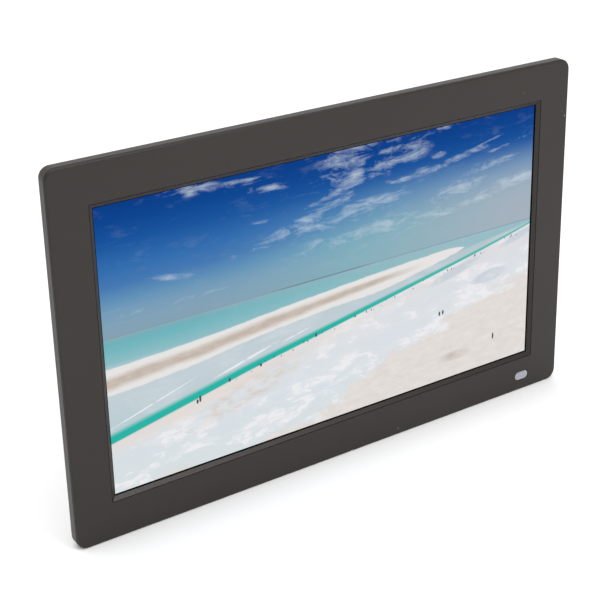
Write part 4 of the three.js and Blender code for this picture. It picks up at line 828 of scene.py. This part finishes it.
def side_slots():
    """A prising slot in the back edge of each side wall."""
    slots = []
    for side in (-1, 1):
        x = sorted((side * (SHELL.right + 1), side * (SHELL.right - SKIRT_WALL - 0.5)))
        y = (SIDE_SLOT_Y - SIDE_SLOT_HEIGHT / 2, SIDE_SLOT_Y + SIDE_SLOT_HEIGHT / 2)
        slots.append(block("side_slot", x, y, (SHELL.back - SIDE_SLOT_DEPTH, SHELL.back + 1)))
    return slots


def receiver_window():
    """The milky lozenge over the receiver, with a softly rounded face."""
    flange_front, edge = WINDOW.back - 0.9, 0.5
    layers = [(WINDOW.width, WINDOW.height, WINDOW.back), (WINDOW.width, WINDOW.height, flange_front)]
    layers += [(WINDOW_WIDTH, WINDOW_HEIGHT, flange_front)]
    for inset, depth in fillet(edge, WINDOW.front + edge, -1, 5):
        layers.append((WINDOW_WIDTH - 2 * inset, WINDOW_HEIGHT - 2 * inset, depth))
    outlines = [(rounded(w, h, h / 2 - 0.01, WINDOW.x, WINDOW.y), depth) for w, h, depth in layers]
    return loft("receiver_window", outlines)


def display_sheet():
    """The display's glass, with its edges broken by a fine ground bevel."""
    edge = 0.15
    front = [(edge, GLASS.front), (0, GLASS.front + edge)]
    outlines = []
    for inset, depth in front + [(0, GLASS.back - edge), (edge, GLASS.back)]:
        width, height = GLASS.width - 2 * inset, GLASS.height - 2 * inset
        outlines.append((rounded(width, height, 0.6 - inset, GLASS.x, GLASS.y, 3), depth))
    return loft("display_sheet", outlines)


# ---- Rear cover -------------------------------------------------------------------------------
SLOPE_RATE = HOUSING_SLOPE / (HOUSING_BACK - RIM_BACK)
SLOPE_WALL = COVER_WALL * math.hypot(1, SLOPE_RATE)
INSIDE_DEPTH = HOUSING_BACK - COVER_WALL
RECESS_FLOOR = BRACKET.front - FIT_GAP
RECESS_LEFT = BRACKET.left - 1
RECESS_RIGHT = 106
RECESS_TOP = BRACKET.high + 5
LEDGE_X = 172
LEDGE_LOW, LEDGE_HIGH = BOARD.low - 6, BOARD.high + 6
KEYHOLES = [(-90, 44), (90, 44)]
KEYHOLE_HEAD, KEYHOLE_NECK, KEYHOLE_RISE = 8.6, 4.4, 9
KEYHOLE_MOUTH = 0.4  # chamfer round each keyhole
WALL_PAD = (24, 34)
VENT_COUNT, VENT_PITCH, VENT_LEFT = 14, 6, -139.5
VENT_WIDTH, VENT_LENGTH, VENT_DROP = 2, 24, 44
GRILLE_WIDTH, GRILLE_SLOT, GRILLE_PITCH = 26, 1.8, 5


def housing_layer(depth, shrink=0.0):
    """The housing's outline at a depth; `shrink` brings it in evenly."""
    lean = SLOPE_RATE * (depth - RIM_BACK) + shrink
    return at_inset(HOUSING_INSET + lean, depth, HOUSING_CORNER - lean)


def cover_body():
    """The cover's outside: rim, ledge, sloping flanks and flat back, as one solid."""
    rim = [at_inset(RIM_INSET, RIM_FRONT, CORNER_RADIUS - RIM_INSET)]
    for inset, depth in fillet(RIM_ROUND, RIM_BACK - RIM_ROUND, 1):
        rim.append(at_inset(RIM_INSET + inset, depth, CORNER_RADIUS - RIM_INSET - inset))
    foot = 1.2  # fillet between the ledge and the slope
    slope = [at_inset(HOUSING_INSET - foot, RIM_BACK, HOUSING_CORNER + foot)]
    slope += [housing_layer(RIM_BACK + 0.3, -0.45), housing_layer(RIM_BACK + foot)]
    slope += [housing_layer(HOUSING_BACK - BACK_ROUND)]
    for turn in (0.25, 0.5, 0.75, 1.0):
        angle = math.pi / 2 * turn
        depth = HOUSING_BACK - BACK_ROUND * (1 - math.sin(angle))
        slope.append(housing_layer(depth, BACK_ROUND * (1 - math.cos(angle))))
    return loft("rear_cover_shell", rim + slope)


def leg_recess(wall, mouth=0.0):
    """The pocket that the foot folds into, `wall` larger all round, with a chamfered mouth or none."""
    y = (SHELL.low, RECESS_TOP + wall)
    x = (RECESS_LEFT - wall, RECESS_RIGHT + wall)
    pocket = block("recess", x, y, (RECESS_FLOOR - wall, HOUSING_BACK + 5), 0.8)
    if not mouth:
        return [pocket]
    width, height = x[1] - x[0], y[1] - y[0]
    layers = []
    for grow, depth in [(0, HOUSING_BACK - mouth), (mouth, HOUSING_BACK + 0.001), (mouth, HOUSING_BACK + 5)]:
        outline = rounded(width + 2 * grow, height + 2 * grow, 0.8 + grow, sum(x) / 2, sum(y) / 2, 4)
        layers.append((outline, depth))
    return [pocket, loft("recess_mouth", layers)]


def socket_ledge(wall, floor):
    """The step in the right flank that gives the sockets an upright wall."""
    y = (LEDGE_LOW - wall, LEDGE_HIGH + wall)
    return block("ledge", (LEDGE_X - wall, SHELL.right + 5), y, (floor, HOUSING_BACK + 5), 0.4)


def cover_hollow():
    """The room inside the cover, with the walls of the recess and the ledge left standing."""
    floor = RIM_BACK - RIM_WALL
    layers = [housing_layer(floor - 0.5, SLOPE_WALL), housing_layer(INSIDE_DEPTH, SLOPE_WALL)]
    room = loft("room", layers)
    combine(room, [*leg_recess(COVER_WALL), socket_ledge(COVER_WALL, floor)])
    half_width, half_height = SHELL.right - RIM_INSET - RIM_BAND, SHELL.high - RIM_INSET - RIM_BAND
    tray = block("tray", (-half_width, half_width), (-half_height, half_height), (RIM_FRONT - 1, floor))
    return [room, tray]


def keyhole(x, y, grow=0.0):
    """A keyhole's outline: a round entry with a narrower neck above it."""
    head, neck = KEYHOLE_HEAD / 2 + grow, KEYHOLE_NECK / 2 + grow
    top = y + KEYHOLE_RISE - KEYHOLE_NECK / 2
    join = math.acos(neck / head)
    points = []
    for i in range(13):
        angle = math.pi * i / 12
        points.append((x + neck * math.cos(angle), top + neck * math.sin(angle)))
    sweep = 2 * math.pi - (math.pi - 2 * join)
    for i in range(33):
        angle = math.pi - join + sweep * i / 32
        points.append((x + head * math.cos(angle), y + head * math.sin(angle)))
    return points


def round_hole(x, y, radius):
    """A circle's outline."""
    return rounded(2 * radius, 2 * radius, radius - 0.001, x, y)


def cover_cuts():
    """Every hole through the back, the screw wells round the rim, and the sockets' openings."""
    front = INSIDE_DEPTH - 1
    vent = []
    for i in range(VENT_COUNT):
        x, y = VENT_LEFT + VENT_PITCH * i, SHELL.high - VENT_DROP
        vent.append(rounded(VENT_WIDTH, VENT_LENGTH, VENT_WIDTH / 2 - 0.05, x, y, 6))
    grille = []
    for node in ("speaker_left", "speaker_right"):
        speaker = extent(node)
        for i in range(-2, 3):
            y = speaker.y + GRILLE_PITCH * i
            grille.append(rounded(GRILLE_WIDTH, GRILLE_SLOT, GRILLE_SLOT / 2 - 0.02, speaker.x, y, 6))
    keys = [extent(f"key_{name}") for name in KEY_NAMES]
    key_holes = [round_hole(key.x, key.y, KEY_RADIUS + FIT_GAP) for key in keys]
    cutters = [holes(n, o, front, HOUSING_BACK, 0.35) for n, o in (("vents", vent), ("grilles", grille))]
    cutters.append(holes("key_holes", key_holes, front, HOUSING_BACK, 0.4))
    hang = bmesh.new()
    for x, y in KEYHOLES:
        narrow, wide = keyhole(x, y), keyhole(x, y, KEYHOLE_MOUTH)
        layers = [(narrow, front), (narrow, COVER.back - KEYHOLE_MOUTH)]
        loft_into(hang, layers + [(wide, COVER.back), (wide, COVER.back + 2)])
    cutters.append(mesh_piece("keyholes", hang))
    screws = [extent(node) for node in COVER_SCREWS]
    wells = [round_hole(s.x, s.y, s.width / 2 + FIT_GAP) for s in screws]
    seat = RIM_BACK - SCREW_HEAD - FIT_GAP
    cutters.append(holes("screw_wells", wells, seat, RIM_BACK, 0.3))
    for node in SOCKETS:
        socket = extent(node)
        y = (socket.low - FIT_GAP, socket.high + FIT_GAP)
        depth = (socket.front - FIT_GAP, socket.back + FIT_GAP)
        cutters.append(block("socket_hole", (LEDGE_X - COVER_WALL - 1, LEDGE_X + 1), y, depth, 0.5))
    return cutters


def wall_pads():
    """The raised pads round the keyholes, which meet the wall."""
    width, height = WALL_PAD
    pads = []
    for x, y in KEYHOLES:
        layers = [(rounded(width, height, 3, x, y + 2), HOUSING_BACK - 0.5)]
        for inset, depth in fillet(0.5, COVER.back - 0.5, 1, 4):
            layers.append((rounded(width - 2 * inset, height - 2 * inset, 3 - inset, x, y + 2), depth))
        pads.append(loft("wall_pad", layers))
    return pads


def rear_cover():
    """The whole cover: its outside, with the pads joined on and every hollow and hole cut."""
    body = cover_body()
    combine(body, wall_pads(), "UNION")
    combine(body, cover_hollow())
    combine(body, [*leg_recess(0, MOUTH), socket_ledge(0, RIM_BACK)])
    combine(body, cover_cuts())
    return body


# ---- Keys -------------------------------------------------------------------------------------
def key_cap(node):
    """A round key with a dished crown, a flange inside the cover and a stem towards its switch."""
    key = extent(node)
    radius, flange, stem = KEY_RADIUS, key.width / 2, 1.5
    base, crown = key.front + 1, key.back
    dish = [(radius * 0.8 * i / 6, crown - 0.22 * (1 - (i / 6) ** 2) - 0.02) for i in range(6, -1, -1)]
    profile = [(0, key.front), (stem, key.front), (stem, base), (flange, base), (flange, base + 1)]
    profile += [(radius, base + 1)] + [(radius - i, d) for i, d in fillet(0.5, crown - 0.5, 1, 5)]
    return turned(f"cap_{node[4:]}", profile + dish[:-1] + [(0, crown - 0.24)], key.x, key.y)


STROKE = 0.28  # width of the printed lines


def ring_mark(x, y, radius, gap, steps=40):
    """A ring drawn as one closed band, with a gap at the top in degrees on each side."""
    start, end = math.pi / 2 + math.radians(gap), math.pi / 2 + math.tau - math.radians(gap)
    angles = [start + (end - start) * i / steps for i in range(steps + 1)]
    sides = []
    for size in (radius + STROKE / 2, radius - STROKE / 2):
        sides.append([(x + size * math.cos(angle), y + size * math.sin(angle)) for angle in angles])
    return sides[0] + sides[1][::-1]


def bar_mark(x0, y0, x1, y1):
    """A straight stroke between two points."""
    start, end = Vector((x0, y0)), Vector((x1, y1))
    along = (end - start).normalized()
    side = Vector((-along.y, along.x)) * STROKE / 2
    return [tuple(point) for point in (start - side, end - side, end + side, start + side)]


def key_marks(name, x, y):
    """The strokes printed on a key: plain signs for power, menu, the four ways and confirm."""
    arm = 0.95
    ways = {"left": 180, "up": 90, "down": 270, "right": 0}
    if name in ways:
        turn = math.radians(ways[name])
        corners = [turn, turn + 2.25, turn - 2.25]
        reach = arm * 1.1
        return [[(x + reach * math.cos(a), y + reach * math.sin(a)) for a in corners]]
    if name == "power":
        return [ring_mark(x, y, arm, gap=38), bar_mark(x, y + 0.25, x, y + arm + 0.35)]
    if name == "menu":
        return [bar_mark(x - arm, y + step, x + arm, y + step) for step in (-0.7, 0, 0.7)]
    return [ring_mark(x, y, arm, gap=0.2)]


def printed_mark(name):
    """The printed sign in a key's dish, a thin film on the plastic."""
    key = extent(f"key_{name}")
    bed = key.back - 0.20
    shape = bmesh.new()
    for outline in key_marks(name, key.x, key.y):
        loft_into(shape, [(outline, bed - 0.12), (outline, bed)])
    return mesh_piece(f"mark_{name}", shape)


# ---- Screws -----------------------------------------------------------------------------------
def screw(node):
    """A pan-head screw with a domed head and a cross recess."""
    box = extent(node)
    seat = box.back - SCREW_HEAD
    radius, shank = box.width / 2, 1.3
    profile = [(0, box.front), (shank * 0.6, box.front), (shank, box.front + 0.8)]
    profile += [(shank, seat), (radius, seat)]
    for angle in (math.pi / 2 * i / 6 for i in range(6)):
        profile.append((radius * math.cos(angle), seat + SCREW_HEAD * (0.45 + 0.55 * math.sin(angle))))
    body = turned(node.replace("screw", "bolt"), profile + [(0, box.back)], box.x, box.y, 32)
    cuts = []
    for wide, high in ((3.0, 0.75), (0.75, 3.0)):
        floor = rounded(wide * 0.5, high * 0.9 if high < 1 else high * 0.5, 0.1, box.x, box.y, 2)
        top = rounded(wide, high, 0.15, box.x, box.y, 2)
        cuts.append(loft("cross", [(floor, box.back - 1.0), (top, box.back - 0.25), (top, box.back + 1)]))
    return combine(body, cuts)


# ---- Swing-out foot ---------------------------------------------------------------------------
PIN = extent("hinge_pin")
HINGE = PIN.front + PIN.width / 2  # depth of the pin's middle
TIP_TOP = SHELL.low + 22
LEG_BEND = (LEG.back - HINGE) * 0.4
LEG_SHOULDER = LEG.high - 4
BARREL_LOW = BRACKET.low + 7 + FIT_GAP


def leg_outline(inset=0.0):
    """The foot's side view as (depth, height) points, brought in by `inset`."""
    tip, top = LEG.back - inset, TIP_TOP - inset
    heel = HINGE + 6.4 + inset
    arch = SHELL.low + 6 + inset
    seat = LEG.low + inset
    shoulder = LEG_SHOULDER - inset
    pad_start = PAD.front - 1
    corner = max(4 - inset, 1)
    points = [(heel, arch), (pad_start - 3 + inset * 0.4, arch), (pad_start + inset * 0.4, seat)]
    points += [(tip - 1, seat), (tip, seat + 1)]
    for i in range(9):
        angle = math.pi / 2 * i / 8
        points.append((tip - corner + corner * math.cos(angle), top - corner + corner * math.sin(angle)))
    start, end = Vector(points[-1]), Vector((heel + 3.6, shoulder))
    bend = Vector((HINGE + LEG_BEND, top + 6))
    for i in range(1, 25):
        t = i / 24
        points.append(tuple((1 - t) ** 2 * start + 2 * t * (1 - t) * bend + t * t * end))
    return points + [(heel, shoulder)]


def plate(name, outline, left, right, rounding, segments=4):
    """A flat plate across x from a side view of (depth, height) points, with rounded edges."""
    shape = bmesh.new()
    faces = [shape.faces.new([shape.verts.new(row(x, y, d)) for d, y in outline]) for x in (left, right)]
    faces[0].normal_flip()
    across = {tuple(round(c, 6) for c in corner.co.yz): corner for corner in faces[0].verts}
    far = list(faces[1].verts)
    for corner, following in zip(far, far[1:] + far[:1]):
        mates = [across[tuple(round(c, 6) for c in v.co.yz)] for v in (corner, following)]
        shape.faces.new((*mates, following, corner))
    bmesh.ops.recalc_face_normals(shape, faces=shape.faces)
    rims = [e for face in faces for e in face.edges]
    bmesh.ops.bevel(shape, geom=rims, offset=rounding * MM, segments=segments, profile=0.5, affect="EDGES")
    return mesh_piece(name, shape)


def upright(name, radius, low, high, x, depth, rounding=0.5, segments=40):
    """A round upright bar with broken ends."""
    shape = bmesh.new()
    levels = [(radius - rounding, low), (radius, low + rounding), (radius, high - rounding)]
    levels.append((radius - rounding, high))
    angles = [math.tau * i / segments for i in range(segments)]
    turns = [(math.cos(angle), math.sin(angle)) for angle in angles]
    rings = []
    for size, y in levels:
        rings.append([shape.verts.new(row(x + size * c, y, depth + size * s)) for c, s in turns])
    for near, far in zip(rings, rings[1:]):
        for i in range(segments):
            j = (i + 1) % segments
            shape.faces.new((near[i], near[j], far[j], far[i]))
    shape.faces.new(rings[0])
    shape.faces.new(rings[-1])
    return mesh_piece(name, shape)


def foot():
    """The swing-out foot: blade with hollowed sides, root and hinge barrel."""
    half, pocket_depth = PAD.width / 2, 0.7
    body = plate("swing_foot", leg_outline(), -half, half, 1.1)
    root = block("root", (-half, half), (BARREL_LOW, LEG_SHOULDER), (HINGE, HINGE + 8), 0.6)
    barrel = upright("barrel", HINGE - LEG.front, BARREL_LOW, LEG.high, 0, HINGE)
    combine(body, [root, barrel], "UNION")
    pockets = []
    for x in (-half, half):
        pockets.append(plate("pocket", leg_outline(4.5), x - pocket_depth, x + pocket_depth, 0.3, 2))
    pin_hole = upright("pin_hole", 2.15, LEG.low - 5, LEG.high + 5, 0, HINGE, 0.1, 32)
    return combine(body, pockets + [pin_hole])


def foot_pad():
    """The rubber pad under the foot's tip."""
    edge = 0.5
    points = rounded(PAD.back - PAD.front, PAD.height, edge, (PAD.front + PAD.back) / 2, PAD.y, 3)
    return plate("foot_pad", points, PAD.left, PAD.right, 0.4, 3)


# ---- Sockets ----------------------------------------------------------------------------------
def contacts(name, node, count, pitch, width, shift, reach):
    """Gold contact strips on a socket's tongue."""
    socket = extent(node)
    middle = (socket.front + socket.back) / 2 + shift
    shape = bmesh.new()
    for i in range(count):
        y = socket.y + (i - (count - 1) / 2) * pitch
        outline = rounded(reach, width, width / 4, socket.right - 3.2 - reach / 2, y, 2)
        loft_into(shape, [(outline, middle), (outline, middle + 0.12)])
    return mesh_piece(name, shape)


# ---- Table, light and camera ------------------------------------------------------------------
def table():
    """A wide pale surface under the frame."""
    shape = bmesh.new()
    half = 9.0
    ground = CAD_BOX[0].z
    corners = [(-half, -half), (half, -half), (half, half), (-half, half)]
    shape.faces.new([shape.verts.new((x, y, ground)) for x, y in corners])
    floor = mesh_piece("table", shape)
    finish = {"Roughness": 0.6, "Specular_IOR_Level": 0.2}
    material, tree, shader, place = surface("matt_white_laminate", **finish)
    cloud = add(tree, "TexNoise", {"Vector": place, "Scale": grain_scale(400), "Detail": 2.0})
    feed(tree, shader, Base_Color=add(tree, "Mix", {0: cloud, 6: "#f6f6f6", 7: "#fbfbfb"}, **BLEND))
    floor.data.materials.append(material)


def softbox(name, place, aim, size, power):
    """A square white softbox aimed at a point."""
    data = bpy.data.lights.new(name, "AREA")
    data.energy = power
    data.size = size
    lamp = bpy.data.objects.new(name, data)
    lamp.location = place
    lamp.rotation_euler = (Vector(aim) - Vector(place)).to_track_quat("-Z", "Y").to_euler()
    bpy.context.scene.collection.objects.link(lamp)


def studio():
    """A pale room, whiter behind the frame, with a soft ceiling light and softboxes above and in front."""
    world = bpy.data.worlds.new("studio")
    bpy.context.scene.world = world
    world.use_nodes = True
    tree = world.node_tree
    towards_back = add(tree, "SeparateXYZ", {0: add(tree, "TexCoord")}, out=1)
    strength = add(tree, "MapRange", {0: towards_back, 1: -0.5, 2: 0.7, 3: 0.5, 4: 1.0}, **SMOOTH)
    tree.links.new(strength, tree.nodes["Background"].inputs["Strength"])
    tree.nodes["Background"].inputs["Color"].default_value = (1, 1, 1, 1)
    middle = (CAD_BOX[0] + CAD_BOX[1]) / 2
    softbox("overhead", middle + Vector((-0.3, 0.3, 1.8)), middle, 2.4, 7)
    softbox("front", middle + Vector((0.3, -1.2, 0.85)), middle, 0.5, 9)
    data = bpy.data.lights.new("ceiling", "SUN")
    data.energy = 1.15
    data.angle = math.radians(60)
    lamp = bpy.data.objects.new("ceiling", data)
    lamp.rotation_euler = (math.radians(8), math.radians(-12), 0)
    bpy.context.scene.collection.objects.link(lamp)


def camera():
    """The viewpoint: above and to the left of the frame, looking down along its face."""
    place = Vector((-0.4989, -0.7332, 0.5274))
    ahead, up = Vector((0.5254, 0.7662, -0.3699)).normalized(), Vector((0.2190, 0.2983, 0.9290))
    back = -ahead
    right = up.cross(back).normalized()
    up = back.cross(right)
    data = bpy.data.cameras.new("camera")
    data.lens = 86.2
    data.sensor_width = 36.0
    data.shift_x, data.shift_y = -0.066, -0.126
    data.clip_start, data.clip_end = 0.01, 50
    eye = bpy.data.objects.new("camera", data)
    turn = Matrix((right, up, back)).transposed().to_4x4()
    eye.matrix_world = Matrix.Translation(place) @ turn
    bpy.context.scene.collection.objects.link(eye)
    bpy.context.scene.camera = eye


# ---- Assembly ---------------------------------------------------------------------------------
bpy.context.scene.view_settings.view_transform = "Standard"
camera()
studio()
table()

FINISH = {
    "shell_abs": shell_abs(),
    # Near-black ABS with a coarser, duller grain than the front.
    "cover_abs": moulded("cover_abs_matt", "#211f1e", "#2a2827", 1.1, 0.09, 0.62),
    "window_plastic": window_plastic(),
    "display_glass": display_glass(),
    "optical_film": film("white_optical_film", "#e6e8ea", "#f3f4f5", 0.45),
    "light_guide_acrylic": light_guide_acrylic(),
    "foam": foam(),
    # Rolled aluminium sheet and a sawn extrusion: soft, pale, finely lined.
    "aluminium_sheet": bare_metal("rolled_aluminium", "#aeb1b4", "#c6c8ca", 0.38),
    # Zinc-plated steel: cooler and a little shinier than the aluminium.
    "steel_sheet": bare_metal("zinc_plated_steel", "#8f9397", "#adb0b3", 0.32, (1, 8, 1)),
    # Black zinc plating: dark grey, slightly cloudy, with a dull shine.
    "screw_steel": bare_metal("black_zinc_plating", "#3c3c3e", "#58585a", 0.36, (1, 1, 1), 0.8),
    "circuit_board": circuit_board(),
    # Moulded epoxy: dull black, finely speckled by its filler.
    "chip_epoxy": moulded("moulded_epoxy", "#161617", "#232324", 0.5, 0.03, 0.55),
    # Glossier black nylon of the round sockets.
    "socket_plastic": moulded("black_nylon", "#18181a", "#222224", 0.8, 0.02, 0.38),
    "ribbon_film": film("polyimide_ribbon", "#cfcabb", "#ded9cc", 0.4),
    # Keys: the cover's plastic from a finer mould, so a shade lighter and smoother.
    "key_abs": moulded("key_abs_satin", "#2f2d2c", "#393736", 0.7, 0.03, 0.42),
    # Pressed black paper of the speaker cones: dull, with a coarse soft relief.
    "speaker_paper": moulded("pressed_paper_cone", "#141414", "#202020", 1.2, 0.15, 0.85),
    "rubber": rubber(),
}

# Carried-over CAD nodes take the finish of their slot.
for row_of_record in frame["record"]["subparts"]:
    kept = frame["nodes"][row_of_record["node"]]
    kept.data.materials.clear()
    kept.data.materials.append(FINISH[row_of_record["material_slot"]])

dress(front_shell(), "shell_abs", instead_of=["front_bezel"])
dress(receiver_window(), "window_plastic", instead_of=["sensor_window"])
dress(display_sheet(), "display_glass", instead_of=["lcd_glass"])
dress(rear_cover(), "cover_abs", instead_of=["rear_cover"])
dress(foot(), "cover_abs", "leg", ["stand_leg"])
dress(foot_pad(), "rubber", "leg", ["stand_pad"])
INK = key_print()
for name in KEY_NAMES:
    dress(key_cap(f"key_{name}"), "key_abs", f"{name}_key", [f"key_{name}"])
    dress(printed_mark(name), "key_abs", f"{name}_key", finish=INK)
for name in COVER_SCREWS + STAND_SCREWS + BRACKET_SCREWS:
    dress(screw(name), "screw_steel", instead_of=[name])
GOLD = bare_metal("gold_plating", "#c79a45", "#e0bb6a", 0.22, (1, 1, 1), 0.5)
dress(contacts("usb_contacts", "usb_port", 4, 2.4, 1.1, -0.1, 6.0), "steel_sheet", finish=GOLD)
dress(contacts("hdmi_contacts", "hdmi_port", 9, 1.1, 0.45, 0.62, 5.0), "steel_sheet", finish=GOLD)

# Edges of the folded and moulded CAD pieces that show are broken by a fine round.
for name, width in [("stand_bracket", 0.5)] + [(socket, 0.15) for socket in SOCKETS]:
    node = frame["nodes"][name]
    edge = node.modifiers.new("edge", "BEVEL")
    edge.width = width * MM
    edge.segments = 3
    edge.limit_method = "ANGLE"
    edge.angle_limit = math.radians(50)
    edge.harden_normals = False
